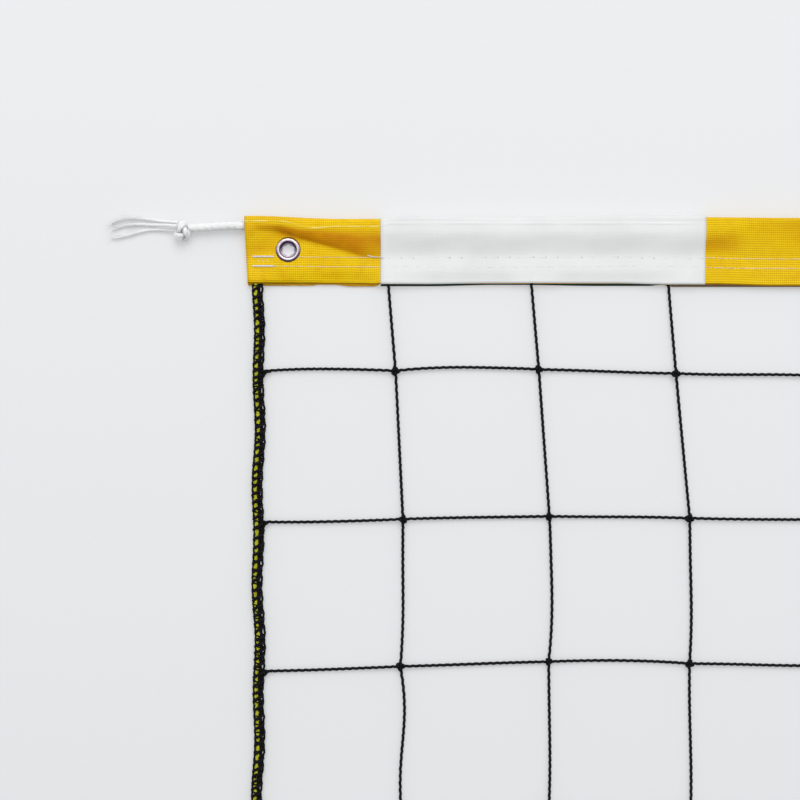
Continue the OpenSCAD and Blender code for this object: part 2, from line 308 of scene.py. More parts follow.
# %% The stopper knot
KNOT_OUT = 42.9
KNOT_DROP = 11.2
KNOT_HEIGHT = 5.2
KNOT_HALF = (3.3, 5.0, 2.1)
KNOT_TURN = 2.75
KNOT_LEAN = math.radians(8)
KNOT_LAY, KNOT_GROOVE, KNOT_SIDES = 13, 0.34, 30


def make_knot(name, end):
    t = np.linspace(0.35, 2 * np.pi + 0.15, 90)
    line = np.stack([
        (np.sin(t) + 2 * np.sin(2 * t)) / 2.9,
        (np.cos(t) - 2 * np.cos(2 * t)) / 3,
        -np.sin(3 * t),
    ], -1) * KNOT_HALF
    out = KNOT_OUT + line[:, 0] * math.cos(KNOT_LEAN) + line[:, 1] * math.sin(KNOT_LEAN)
    drop = KNOT_DROP - line[:, 0] * math.sin(KNOT_LEAN) + line[:, 1] * math.cos(KNOT_LEAN)
    path = place(end, -out, drop, KNOT_HEIGHT + line[:, 2])
    tube = lay_tube(name, path, KNOT_TURN * MM, 3, KNOT_LAY * MM, KNOT_GROOVE, KNOT_SIDES, hand=end)
    return new_piece(name, tube)


print("stopper knot:", 2 * KNOT_HALF[0], "by", 2 * KNOT_HALF[1], "mm along the middle of its cord")

# %% Tufts of fibre at a cut tip
HAIR_SIDES, HAIR_RINGS = 4, 6
HAIR_LOW = 0.25


def tuft(name, rng, path, count, reach, spread, start):
    """Loose hairs that leave the last part of a strand, up to start before its tip, and fan out past it."""
    run = path_run(path)
    along, side, up = path_frames(path)
    verts, faces = [], []
    for _ in range(count):
        at = run[-1] - rng.uniform(0.2, 1.0) * reach * 0.6 - start * rng.random()
        i = int(np.clip(np.searchsorted(run, at), 1, len(path) - 2))
        aim = along[i] + side[i] * rng.normal(0, spread) + up[i] * rng.normal(0.05, spread * 0.4)
        curl = side[i] * rng.normal(0, 0.22) + up[i] * rng.normal(0, 0.1)
        origin = path[i] + side[i] * rng.normal(0, 0.35 * MM) + up[i] * rng.normal(0, 0.3 * MM)
        thick = rng.uniform(0.07, 0.15) * MM
        for q in np.linspace(0, 1, HAIR_RINGS):
            middle = origin + (aim + curl * q) * q * reach * rng.uniform(0.97, 1.03)
            middle[2] = max(middle[2], HAIR_LOW * MM)
            size = thick * (1 - 0.7 * q)
            for a in np.arange(HAIR_SIDES) * 2 * np.pi / HAIR_SIDES:
                verts.append(middle + size * (math.cos(a) * side[i] + math.sin(a) * up[i]))
        base = len(verts) - HAIR_RINGS * HAIR_SIDES
        for ring in range(HAIR_RINGS - 1):
            for k in range(HAIR_SIDES):
                a, b = base + ring * HAIR_SIDES + k, base + ring * HAIR_SIDES + (k + 1) % HAIR_SIDES
                faces.append([a, b, b + HAIR_SIDES, a + HAIR_SIDES])
        faces.append([base + k for k in reversed(range(HAIR_SIDES))])
        faces.append([len(verts) - HAIR_SIDES + k for k in range(HAIR_SIDES)])
    mesh = bpy.data.meshes.new(name)
    mesh.from_pydata([tuple(v) for v in verts], [], faces)
    return new_piece(name, facing_out(mesh))


print("a hair has", HAIR_SIDES * HAIR_RINGS, "points")

STRAND_TUFTS = {"upper": (64, 11.0, 0.12, 26), "middle": (50, 10.0, 0.13, 26), "lower": (34, 8.0, 0.12, 20)}


def thinning(t):
    """How thick a strand still is at a part t of its length: it thins as it comes undone."""
    return 1 - 0.45 * ease(t, 0.72, 1.0)


for end_name, end in SIDES.items():
    rng = np.random.default_rng(20 + end)
    knot = dress(make_knot(f"stopper_{end_name}", end), "cord", "white_cord", f"stopper_knot_{end_name}")
    path = smooth_path(route_points(end, END_ROUTE), 1.5 * MM)
    piece = cord_tube(f"cord_end_{end_name}", path, end)
    dress(piece, "cord", "white_cord", f"headline_end_{end_name}")
    for strand, route in STRAND_ROUTES.items():
        name = f"cord_strand_{strand}_{end_name}"
        path = smooth_path(route_points(end, route), 1.0 * MM)
        mesh = lay_tube(
            name, path, STRAND_D / 2 * MM, 2, STRAND_LAY * MM, STRAND_GROOVE, STRAND_SIDES,
            hand=end, taper=thinning,
        )
        piece = dress(new_piece(name, mesh), "cord", "white_cord", f"strand_{strand}_{end_name}")
        count, reach, spread, back = STRAND_TUFTS[strand]
        hairs = tuft(f"tuft_{strand}_{end_name}", rng, path, count, reach * MM, spread, back * MM)
        dress(hairs, "cord", "white_cord")
    print("cord ends:", end_name, "with", len(STRAND_ROUTES), "strands")

# %% [markdown]
# ## The shape of the hem
# The headband is one strip of coated tape, folded over the cord and sewn to itself below it. Cloth
# that goes round a cord doesn't lie as the drawing says: near the end the front hugs the cord, and
# further in it slackens and falls in one long slope from the cord down to the stitching. Where the two
# meet, a crease runs slantwise over the band.
#
# `front_height` is that shape, as a height above the floor for every place on the front. Three lines
# that wander along the band drive it: the crest over the cord, the end of the roof, and the foot of
# the slope. The cloth is also pressed flat round each eyelet, and below the stitching the front sinks
# onto the back wherever no twine holds them apart.

# %% Lines that shape the hem
TAPE = 0.8
BACK_Z = 1.0
NOSE_Z = 4.7
FRONT_Z = 4.2
CREST_Z = 8.35
EYELET_IN, EYELET_DROP = 29.1, 23.0
FLANGE_R = 8.6
MESH = 100.0
ROPE_IN = 8.6


def wandering(u, value, *changes):
    """A measure that takes on each change little by little, between its two places along the band."""
    for change, first, last in changes:
        value = value + change * ease(u, first, last)
    return value


def top_edge(u):
    wave = 0.4 * np.sin((u - 330) / 36) * ease(u, 110, 150)
    return wandering(u, 0.5, (2.1, 4, 66), (-1.0, 92, 110)) + wave


def crest(u):
    return wandering(u, 3.9, (4.6, 24, 44), (-0.9, 46, 64), (-2.0, 89, 100), (-1.4, 300, 318))


def roof_end(u):
    return wandering(u, 5.6, (2.4, 22, 40), (2.8, 86, 102), (-2.8, 306, 320), (-4.2, 332, 362))


def slope_foot(u):
    return np.interp(u, (22, 37, 68, 80), (10.4, 15.4, 23.8, 27.8)) + 0.6 * ease(u, 318, 338)


def front_edge(u):
    dip = wandering(u, 0, (0.3, 46, 56), (0.3, 80, 88), (1.0, 320, 360))
    sleeve_rise = (0.3 + 0.6 * ease(u, 120, 170)) * ease(u, 88, 92) * (1 - ease(u, 250, 292))
    return 46.2 + dip - sleeve_rise


def back_edge(u):
    under_sleeve = ease(u, 89, 92) * (1 - ease(u, 280, 292))
    return wandering(u, 47.5, (-0.7, 45, 49), (1.2, 60, 72)) - 1.9 * under_sleeve + 0.3 * ease(u, 284, 294)


def end_trim(u, v):
    """How much further in the band's cut end lies, lower down: it wasn't cut quite square."""
    return 2.0 * (np.clip(v, 0, 50) / 46) ** 1.3 * (1 - ease(u, 0, 60))


print("crest at 20 and 60 mm:", round(float(crest(20)), 1), round(float(crest(60)), 1))

# %% Where the tape is painted in shade
def slope_part(u, v):
    """How far down the slope a place is: 0 where the roof over the cord ends, 1 at the foot."""
    return np.clip((v - roof_end(u)) / (slope_foot(u) - roof_end(u)), 0, 1)


def painted_shade_share(u, v):
    """How much shade is painted on the tape at a place: most on the hem's slope, which faces away from the
    light, and near the band's end beside the cord and round the eyelet.
    """
    t = slope_part(u, v)
    near_eyelet = 1 - ease(u, 24, 40)
    foot = slope_foot(u) + 3.0 * near_eyelet
    wedge = ease(t, 0, 0.45) * (1 - ease(v, foot - 1.4 - 2.5 * near_eyelet, foot + 2.0 + near_eyelet))
    wedge = wedge * (1 - 0.5 * ease(t, 0.35, 0.9) * ease(u, 74, 90))
    hollow = 0.6 * ease(t, 0.1, 0.5) * (1 - ease(t, 0.6, 1.0)) * (1 - ease(u, 325, 345))
    dimple = 0.25 * ease(v, 3.8, 5.5) * (1 - ease(v, 10, 20)) * ease(u, 350, 362)
    beside_cord = (0.25 + 0.3 * ease(u, 4, 12)) * ease(v, 4.5, 7.5) * (1 - ease(v, 8, 13))
    beside_eyelet = 0.32 * np.exp(-(((v - 24 + 0.35 * u) / 4.5) ** 2))
    share = wedge + (hollow + dimple - wedge) * ease(u, 200, 300)
    return share + (beside_cord + beside_eyelet - share) * (1 - ease(u, 12, 27))


print("deeper colour on the slope at 60 mm:", round(float(painted_shade_share(60, 18)), 2))

# %% The height of the front
def ridge(u, v):
    """The sharp little fold along the crest that catches the light."""
    uneven = 0.75 + 0.25 * np.sin(u / 7.3)
    return 0.22 * np.exp(-(((v - crest(u)) / 0.5) ** 2)) * uneven * (1 - ease(u, 300, 316))


def over_twine(u):
    """1 where a twine or the side rope runs between the layers, 0 midway between two of them."""
    nearest = np.abs((u - ROPE_IN + 8 + MESH / 2) % MESH - MESH / 2)
    return np.maximum(np.exp(-((nearest / 15) ** 2)), np.exp(-(((u - 8) / 9) ** 2)))


def front_height(u, v):
    """Height of the middle of the front layer at u inward and v below the edge, all in millimetres."""
    t = slope_part(u, v)
    hung = sum(0.35 * part + 0.65 * part**4 for part in (slope_part(u, v + off) for off in (-1, 0, 1))) / 3
    even = 0.3 * t + 0.7 * ease(t)
    fall = hung + (even - hung) * ease(u, 84, 100)
    fall = fall + (t - fall) * ease(u, 312, 345)
    slope = FRONT_Z + (CREST_Z - FRONT_Z) * (1 - fall)
    step = 1.9 * ease(u, 1, 14)
    tail = np.clip((v - 9) / 17, 0, 1)
    hugged = CREST_Z - step * ease(v, 6.2, 11.2)
    hugged = hugged - (CREST_Z - FRONT_Z - step) * (0.5 * tail + 0.5 * ease(tail))
    height = hugged + (slope - hugged) * ease(u, 16, 28)
    slack = ease(u, 40, 90)
    height = height + 0.2 * slack * np.sin(2 * np.pi * u / 61 + v / 9) * ease(v, 12, 17) * (1 - t**2)
    away = np.hypot(u - EYELET_IN, v - EYELET_DROP)
    press = 1 - ease(away, FLANGE_R - 0.5, FLANGE_R + 2.5)
    around = np.arctan2(v - EYELET_DROP, u - EYELET_IN)
    ray = 0.13 * np.cos(7 * around) * np.exp(-(((away - 12) / 3) ** 2))
    height = height * (1 - press) + FRONT_Z * press + ray
    loose = ease(v, 36.5, 46)
    sink = (FRONT_Z - BACK_Z - TAPE - 0.1) * (1 - 0.45 * ease(u, 86, 98)) * (1 - 0.6 * ease(u, 308, 320))
    height = height - loose * sink * (1 - over_twine(u)) * ease(u, -4, 6)
    return height + loose * 0.12 * np.sin(2 * np.pi * u / 23 + 1.0) + ridge(u, v)


print("front at 60 mm, on the crest:", round(float(front_height(60, crest(60))), 1), "mm up")
print("front at 60 mm, on the seam:", round(float(front_height(60, 28)), 1), "mm up")

# %% [markdown]
# ## Laying the tape
# The tape is built as a grid: one row for each place across its width, from the back's free edge up,
# round the nose of the fold and down the front, and one column for each place along the band. The
# grid is the middle of the cloth. Moving it out and in along its own normals gives the two faces, and
# joining their rims gives a closed shell with the tape's real thickness. The UV map holds the distance
# along and across the tape, so the weave follows the cloth round the fold.

# %% Rows across the folded strip
BACK_STEPS = 5
NOSE_STEPS = 9
NOSE_POWER = 3.2
RIDGE_ROWS = (-1.3, -0.8, -0.4, 0.0, 0.4, 0.8, 1.5)
SLOPE_STEPS = 14
FLAT_STEPS = 11
PAST_FOOT = 0.8


def fold_rows(u, ease_up=0.0, show_back=0.0):
    """Drop and height of every row of the folded strip, at the places u along the band.

    ease_up lets the fold stand out above the band's top, and show_back lets the back hang lower.
    """
    top = top_edge(u) - ease_up
    top_back, low_back = top + NOSE_Z - BACK_Z, back_edge(u) + show_back
    rows = []
    for t in np.linspace(0, 1, BACK_STEPS)[:-1]:
        drop = low_back + (top_back - low_back) * t
        rows.append((drop, np.full_like(u, BACK_Z) + 0.1 * np.sin(u / 23 + drop / 5) * (1 - t)))
    for a in np.linspace(0, np.pi / 2, BACK_STEPS)[:-1]:
        rows.append((top + (top_back - top) * (1 - np.sin(a)), NOSE_Z - (NOSE_Z - BACK_Z) * np.cos(a)))
    shoulder = crest(u) + RIDGE_ROWS[0]
    for t in np.linspace(0, 1, NOSE_STEPS)[:-1] ** 1.8:
        round_off = (1 - (1 - t) ** NOSE_POWER) ** (1 / NOSE_POWER)
        rows.append((top + (shoulder - top) * t, NOSE_Z + (CREST_Z - NOSE_Z) * round_off))
    for off in RIDGE_ROWS:
        rows.append((crest(u) + off, front_height(u, crest(u) + off)))
    last = crest(u) + RIDGE_ROWS[-1]
    for t in np.linspace(0, 1, SLOPE_STEPS)[1:-1]:
        drop = last + (slope_foot(u) + PAST_FOOT - last) * t
        rows.append((drop, front_height(u, drop)))
    for t in np.linspace(0, 1, FLAT_STEPS):
        drop = slope_foot(u) + PAST_FOOT + (front_edge(u) - slope_foot(u) - PAST_FOOT) * t
        rows.append((drop, front_height(u, drop)))
    return np.array([np.broadcast_arrays(*row, u)[:2] for row in rows]).transpose(1, 0, 2)


print("rows across the strip:", fold_rows(np.array([60.0])).shape[1])

# %% The strip as a grid, and a grid as a shell
FAR_AWAY = 20.0
HIGHLIGHT_TO = 300
INNER_FACE = 10.0
FRONT_ROWS = NOSE_STEPS - 1 + len(RIDGE_ROWS) + SLOPE_STEPS - 2 + FLAT_STEPS


def strip_grid(stations, **fit):
    """The middle of the cloth as rows of points, its measure along and across, and the fold map: its distance
    below the crest and its share of painted shade.
    """
    u = np.minimum(stations, BAND_LONG - stations)
    drop, height = fold_rows(u, **fit)
    inward = stations[None, :] + end_trim(stations, drop) - end_trim(BAND_LONG - stations, drop)
    points = place(LEFT, inward, drop, height)
    steps = np.linalg.norm(np.diff(points, axis=0), axis=2)
    across = np.vstack([np.zeros((1, len(stations))), np.cumsum(steps, axis=0)])
    below = np.where(u < HIGHLIGHT_TO, drop - crest(u), FAR_AWAY)
    below[:-FRONT_ROWS] = -FAR_AWAY
    fold = np.stack([below * MM, painted_shade_share(u, drop)], -1)
    return points, np.stack(np.broadcast_arrays(inward * MM, across - across[-1]), -1), fold


def grid_normals(points):
    across = np.gradient(points, axis=0)
    along = np.gradient(points, axis=1)
    normal = np.cross(along, across)
    return normal / np.linalg.norm(normal, axis=2)[:, :, None]


def shell(name, points, uv, fold, low, high):
    """A closed shell between two offsets of a grid of cloth, in metres."""
    normal = grid_normals(points)
    sign = 1.0 if normal[-2, len(points[0]) // 2, 2] > 0 else -1.0
    outer, inner = points + sign * normal * high, points + sign * normal * low
    ring = np.concatenate([outer, inner[::-1]], 0).transpose(1, 0, 2)
    ring_uv = np.concatenate([uv, uv[::-1], uv[:1]], 0).transpose(1, 0, 2)
    inside = fold[::-1] + (0, INNER_FACE)
    ring_fold = np.concatenate([fold, inside, fold[:1]], 0).transpose(1, 0, 2)
    mesh = grid_mesh(name, ring, ring_uv, fold=ring_fold)
    return new_piece(name, facing_out(mesh, fill=True))


print("front rows:", FRONT_ROWS)

# %% The tape from end to end
FINE_TO, NEAR_TO = 120, 345
near = np.concatenate([np.arange(0, FINE_TO, 2.0), np.arange(FINE_TO, NEAR_TO, 3.0)])
far = (BAND_LONG - near)[::-1]
stations = np.concatenate([near, np.arange(NEAR_TO, BAND_LONG - NEAR_TO, 12.0), far])
stations[0], stations[-1] = -0.5, BAND_LONG + 0.5
points, uv, fold = strip_grid(stations)
headband = shell("headband_tape", points, uv, fold, -TAPE / 2 * MM, TAPE / 2 * MM)

# %% [markdown]
# ## Punching the eyelet holes
# The holes go through both layers of the tape, so they are cut with a cylinder rather than left out of
# the grid: a Boolean gives a clean round edge wherever the eyelet stands.

# %% Holes for the eyelets
HOLE_R = 5.1


def keep_result(piece, modifier):
    """Applies a modifier: what it makes becomes the piece's own plain mesh."""
    bpy.context.view_layer.update()
    made = bpy.data.meshes.new_from_object(piece.evaluated_get(bpy.context.evaluated_depsgraph_get()))
    piece.modifiers.remove(modifier)
    piece.data = made


def punch(piece, places, radius):
    for x, y in places:
        cutter_mesh = bpy.data.meshes.new("cutter")
        shape = bmesh.new()
        bmesh.ops.create_cone(
            shape, cap_ends=True, segments=64, radius1=radius, radius2=radius, depth=0.04
        )
        bmesh.ops.translate(shape, verts=shape.verts, vec=(x, y, 0))
        shape.to_mesh(cutter_mesh)
        shape.free()
        cutter = new_piece("cutter", cutter_mesh)
        cut = piece.modifiers.new("cut", "BOOLEAN")
        cut.operation = "DIFFERENCE"
        cut.solver = "MANIFOLD"
        cut.object = cutter
        keep_result(piece, cut)
        bpy.data.objects.remove(cutter)


eyelet_at = {name: place(end, EYELET_IN, EYELET_DROP, 0) for name, end in SIDES.items()}
before = len(headband.data.vertices)
punch(headband, [(p[0], p[1]) for p in eyelet_at.values()], HOLE_R * MM)
dress(headband, "net", "coated_tape", "headband")
print("holes punched:", before, "->", len(headband.data.vertices), "points")

# %% [markdown]
# ## White sleeves
# Near each end a smooth white sleeve is wrapped round the tape and sewn down with it. It is a second
# thin shell over the same grid, standing just off the tape, so it shows every swell of the cloth
# below. It is left plain.

# %% Sleeves over the tape
SLEEVE_IN, SLEEVE_LONG, SLEEVE = 92.3, 221.5, 0.3
SLEEVE_OFF = 0.06


def at_end(points, end):
    """Points laid at the left end, or their mirror images at the right one."""
    return points * (-end, 1, 1)


for end_name, end in SIDES.items():
    along = np.linspace(SLEEVE_IN, SLEEVE_IN + SLEEVE_LONG, 89)
    show = 1.7 - 0.9 * ease(along, 125, 170) + 0.7 * ease(along, 190, 240) - 1.9 * ease(along, 276, 290)
    points, uv, fold = strip_grid(along, ease_up=0.6, show_back=show)
    low = (TAPE / 2 + SLEEVE_OFF) * MM
    high = low + (SLEEVE - SLEEVE_OFF) * MM
    sleeve = shell(f"sleeve_{end_name}", at_end(points, end), uv, fold, low, high)
    dress(sleeve, "net", "white_sleeve", f"label_sleeve_{end_name}")
    print("sleeve:", end_name, len(sleeve.data.polygons), "faces")

# %% [markdown]
# ## Twine from Geometry Nodes
# The netting has about 180 m of twine in it. It all follows one rule: take a line, walk along it in
# even steps, let the middle snake a little as two yarns twisted together do, and put a round section
# on it. A Geometry Nodes tree states that rule once. Its inputs are the sizes, so the same tree makes
# the mesh bars, the selvedges and the lashing.
#
# Helpers first: one makes a tree with named inputs, one adds a node with its inputs set, and one runs
# a tree over a piece and keeps the result as a plain mesh.

# %% Helpers for node trees
def add(tree, kind, values=None, **settings):
    """A node with its settings, and its inputs given as numbers or as sockets to link from."""
    made = tree.nodes.new(kind)
    for key, value in settings.items():
        setattr(made, key, value)
    for key, value in (values or {}).items():
        if isinstance(value, bpy.types.NodeSocket):
            tree.links.new(value, made.inputs[key])
        else:
            made.inputs[key].default_value = value
    return made


def new_tree(name, sizes):
    """A geometry tree with its input and output, and one named input for each size."""
    tree = bpy.data.node_groups.new(name, "GeometryNodeTree")
    tree.interface.new_socket("Geometry", in_out="INPUT", socket_type="NodeSocketGeometry")
    for label, value in sizes.items():
        kind = "NodeSocketInt" if isinstance(value, int) else "NodeSocketFloat"
        tree.interface.new_socket(label, in_out="INPUT", socket_type=kind).default_value = value
    tree.interface.new_socket("Material", in_out="INPUT", socket_type="NodeSocketMaterial")
    tree.interface.new_socket("Geometry", in_out="OUTPUT", socket_type="NodeSocketGeometry")
    return tree, tree.nodes.new("NodeGroupInput").outputs


def close_tree(tree, geometry, material):
    """Ends a tree: smooth faces, real instances, a material."""
    smooth = add(tree, "GeometryNodeSetShadeSmooth", {"Geometry": geometry})
    real = add(tree, "GeometryNodeRealizeInstances", {"Geometry": smooth.outputs[0]})
    coat = add(tree, "GeometryNodeSetMaterial", {"Geometry": real.outputs[0], "Material": material})
    tree.links.new(coat.outputs[0], tree.nodes.new("NodeGroupOutput").inputs[0])


print("tree helpers ready")

# %% Running a tree over lines
def grow(name, tree, mesh, material, **sizes):
    """Runs a tree over a mesh and keeps what it makes as a plain piece."""
    piece = new_piece(name, mesh)
    modifier = piece.modifiers.new("tree", "NODES")
    modifier.node_group = tree
    sockets = {s.name: s.identifier for s in tree.interface.items_tree if s.in_out == "INPUT"}
    for label, value in sizes.items():
        modifier[sockets[label]] = value
    modifier[sockets["Material"]] = finish[material]
    keep_result(piece, modifier)
    bpy.data.meshes.remove(mesh)
    piece.data.name = name
    return piece


def line_mesh(name, lines):
    """One mesh that holds several open lines, as edges with no faces."""
    verts, edges = [], []
    for line in lines:
        base = len(verts)
        verts.extend(line.tolist())
        edges.extend((base + i, base + i + 1) for i in range(len(line) - 1))
    mesh = bpy.data.meshes.new(name)
    mesh.from_pydata(verts, edges, [])
    return mesh


print("trees can be run")

# %% Sums and even steps inside a tree
def maths(tree, operation, a, b=None, c=None):
    values = {0: a} if b is None else {0: a, 1: b} if c is None else {0: a, 1: b, 2: c}
    return add(tree, "ShaderNodeMath", values, operation=operation).outputs[0]


def vector_maths(tree, operation, a, b):
    key = "Scale" if operation == "SCALE" else 1
    return add(tree, "ShaderNodeVectorMath", {0: a, key: b}, operation=operation).outputs[0]


def store(tree, geometry, name, value):
    """Keeps a number on every point of a geometry, under a name that its finish can read."""
    return add(
        tree, "GeometryNodeStoreNamedAttribute",
        {"Geometry": geometry, "Name": name, "Value": value}, data_type="FLOAT", domain="POINT",
    ).outputs[0]


def even_steps(tree, given):
    """The lines that a tree is given, as curves cut into even steps."""
    curve = add(tree, "GeometryNodeMeshToCurve", {"Mesh": given["Geometry"]}).outputs[0]
    even = add(tree, "GeometryNodeResampleCurve", {"Curve": curve}, mode="LENGTH")
    tree.links.new(given["Step"], even.inputs["Length"])
    return even.outputs[0]


print("sums ready")

# %% The twine tree
TWINE = {"Step": 0.00153, "Thickness": 0.0021, "Snake": 0.00024, "Twist": 0.0046, "Sides": 5}


def twine_tree():
    tree, given = new_tree("twine", TWINE)
    spot = add(tree, "GeometryNodeInputPosition").outputs[0]
    drift = add(tree, "ShaderNodeTexNoise", {"Vector": spot, "Scale": 9.0, "Detail": 1.0}).outputs[0]
    run = add(tree, "GeometryNodeSplineParameter").outputs["Length"]
    turns = maths(tree, "MULTIPLY_ADD", drift, 5.0, maths(tree, "DIVIDE", run, given["Twist"]))
    angle = maths(tree, "MULTIPLY", turns, 2 * math.pi)
    kept = store(tree, even_steps(tree, given), "turns", turns)
    normal = add(tree, "GeometryNodeInputNormal").outputs[0]
    tangent = add(tree, "GeometryNodeInputTangent").outputs[0]
    side = vector_maths(tree, "CROSS_PRODUCT", tangent, normal)
    sway = vector_maths(tree, "SCALE", normal, maths(tree, "COSINE", angle))
    swing = vector_maths(tree, "SCALE", side, maths(tree, "SINE", angle))
    shift = vector_maths(tree, "SCALE", vector_maths(tree, "ADD", sway, swing), given["Snake"])
    snaked = add(tree, "GeometryNodeSetPosition", {"Geometry": kept, "Offset": shift}).outputs[0]
    half = maths(tree, "MULTIPLY", given["Thickness"], 0.5)
    ring = add(tree, "GeometryNodeCurvePrimitiveCircle", {"Resolution": given["Sides"], "Radius": half})
    part = add(tree, "GeometryNodeSplineParameter").outputs["Factor"]
    marked = store(tree, ring.outputs[0], "around", part)
    tube = add(tree, "GeometryNodeCurveToMesh", {"Curve": snaked, "Profile Curve": marked, "Fill Caps": True})
    close_tree(tree, tube.outputs[0], given["Material"])
    return tree


TWINE_TREE = twine_tree()


def lay_yarn(name, lines, *nodes, slot="black_twine", tree=TWINE_TREE, **sizes):
    """Twine, thread or rope along some lines, as a finished piece that rides on the net."""
    piece = grow(name, tree, line_mesh("lines", lines), slot, **sizes)
    return dress(piece, "net", slot, *nodes)


print("twine tree:", len(TWINE_TREE.nodes), "nodes")

# %% [markdown]
# ## Where the mesh knots lie
# A net is knotted on a grid of squares, but twine is limp, so on the floor its knots drift from the
# grid. Near the ends the drift is given for the first four columns and the top three rows: the band
# draws the top of the net outwards, more the further in one looks. Beyond them it fades, and slow
# waves with a small seeded wander take over. The lashed sides and the bottom hold their knots.

# %% The grid of knots
MESH_DROP = 6.0
net_low, net_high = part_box("netting")
COLUMNS = round((BAND_LONG - 2 * ROPE_IN) / MESH)
ROWS = round((net_high.y - net_low.y) / MM / MESH)
SEWN_DROP = 31.0

# The drift in millimetres, inwards and down, for the side rope and for columns 1 to 4: each at the seam
# and at rows 1 to 3
END_DRIFT = [
    [(0, 0), (0, 0.2), (0, 2.9), (0, 5.0)],
    [(-12.3, 0), (-6.2, -0.2), (-1.1, 1.2), (-2.8, 1.9)],
    [(-14.5, 0), (-8.2, -1.2), (-1.0, -0.8), (-1.4, -1.5)],
    [(-20.9, 0), (-14.4, 1.5), (-5.1, 0.5), (-5.1, -0.1)],
    [(-22.0, 0), (-15.5, 3.2), (-4.6, 1.6), (-4.6, 0.9)],
]
FADE_COLUMNS, FADE_ROWS = 12, 4.0
rng = np.random.default_rng(7)
wander = rng.normal(0, 1.1, (COLUMNS + 1, ROWS + 1, 2)).clip(-2, 2)


def knot_at(k, j):
    """Measures of the knot in column line k and row line j: inward from the left end, and drop."""
    from_end = min(k, COLUMNS - k)
    sign = 1 if k == from_end else -1
    column = min(from_end, len(END_DRIFT) - 1)
    row = min(j, 3)
    v = SEWN_DROP if j == 0 else MESH_DROP + MESH * j
    end_share = float(1 - ease(from_end, 4, 4 + FADE_COLUMNS)) * float(1 - ease(j, 3, 3 + FADE_ROWS))
    dx, dy = (share * end_share for share in END_DRIFT[column][row])
    free = (1 - end_share) * float(ease(from_end, 0, 3))
    if 0 < j < ROWS:
        dy += free * (wander[k, j, 1] + 1.6 * math.sin(k * 0.83 + j * 1.7))
    if j < ROWS:
        dx += sign * free * (wander[k, j, 0] + 2.0 * math.sin(k * 0.61 + j * 0.9))
    return ROPE_IN + MESH * k + sign * dx, v + dy


print("netting:", COLUMNS, "columns of mesh,", ROWS, "rows")

# %% How far each bar bows
TWINE_Z = 2.6
FLOOR_Z = 1.9
BAR_STEPS = 10
SEWN_SAG = 0.2
# Bows in millimetres of the first four bars of rows 1 to 3, and of columns 1 to 3 below row 2
ROW_BOWS = [[-1.6, -1.9, 0.0, 0.0], [0.8, -0.2, -0.3, 0.4], [0.5, 0.0, -1.4, 0.6]]
COLUMN_BOWS = [-1.0, -2.0, -1.1]
bows = np.random.default_rng(31).normal(0, 0.6, (2, COLUMNS + 1, ROWS + 1, 2))
for column in (0, COLUMNS - 4):
    for bay in range(4):
        k = column + bay
        near_end = bay if column == 0 else 3 - bay
        bows[0, k, 1:4, 0] = [ROW_BOWS[j][near_end] for j in range(3)]
        bows[0, k, 1:4, 1] *= 0.3
for near_end, bow in enumerate(COLUMN_BOWS, 1):
    bows[1, near_end, :2] = 0
    bows[1, near_end, 2] = (bow, 0.4)
    bows[1, COLUMNS - near_end, :2] = 0
    bows[1, COLUMNS - near_end, 2] = (-bow, 0.4)
print("widest bow:", round(float(np.abs(bows[..., 0]).max()), 1), "mm")

# %% Mesh bars between the knots
def bar(a, b, bow, skew, sag=1.0):
    """A bar of twine from knot to knot: it bows sideways and sinks towards the floor between them."""
    a, b = np.array(a), np.array(b)
    t = np.linspace(0, 1, BAR_STEPS + 1)
    run = b - a
    across = np.array((-run[1], run[0])) / np.linalg.norm(run)
    swell = bow * np.sin(np.pi * t) ** 0.8 + skew * np.sin(2 * np.pi * t)
    flat = a + t[:, None] * run + swell[:, None] * across
    height = TWINE_Z - sag * (TWINE_Z - FLOOR_Z) * np.sin(np.pi * t) ** 0.7
    return place(LEFT, flat[:, 0], flat[:, 1], height)


def joined(bars):
    return np.vstack([bars[0]] + [b[1:] for b in bars[1:]])


def row_line(j, first, last):
    return joined([bar(knot_at(k, j), knot_at(k + 1, j), *bows[0, k, j]) for k in range(first, last)])


def column_line(k):
    stops = [knot_at(k, j) for j in range(ROWS + 1)]
    bars = []
    for j, (a, b) in enumerate(zip(stops, stops[1:])):
        bars.append(bar(a, b, *bows[1, k, j], SEWN_SAG if j == 0 else 1.0))
    return joined(bars)


NET_PARTS = 8
edges = [round(COLUMNS * i / NET_PARTS) for i in range(NET_PARTS + 1)]
for part, (first, last) in enumerate(zip(edges, edges[1:])):
    lines = [row_line(j, first, last) for j in range(1, ROWS)]
    lines += [column_line(k) for k in range(max(first, 1), last)]
    piece = lay_yarn(f"mesh_twine_{part + 1}", lines, "netting")
    print(piece.name, "columns", first, "to", last, "faces:", len(piece.data.polygons))

# %% [markdown]
# ## Mesh knots
# Every crossing is a sheet bend drawn tight: a small hard lump of three or four turns of twine, about
# three times as thick as the twine. One short closed loop of twine stands for it, tied like a trefoil.
# The tree sets one on each crossing, turned at random and a little larger or smaller.

# %% The knot tree
KNOT = {"Size": 0.0068, "Thickness": 0.0025, "Vary": 0.13, "Seed": 3}
LOOP_POINTS = 16
KNOT_LIFT = 0.35


def trefoil_mesh():
    t = np.linspace(0, 2 * np.pi, LOOP_POINTS, endpoint=False)
    line = np.stack([
        (np.sin(t) + 2 * np.sin(2 * t)) / 6, (np.cos(t) - 2 * np.cos(2 * t)) / 6, -np.sin(3 * t) / 4
    ], -1)
    mesh = bpy.data.meshes.new("loop")
    mesh.from_pydata(line.tolist(), [(i, (i + 1) % LOOP_POINTS) for i in range(LOOP_POINTS)], [])
    return mesh


loop = new_piece("loop_of_twine", trefoil_mesh())


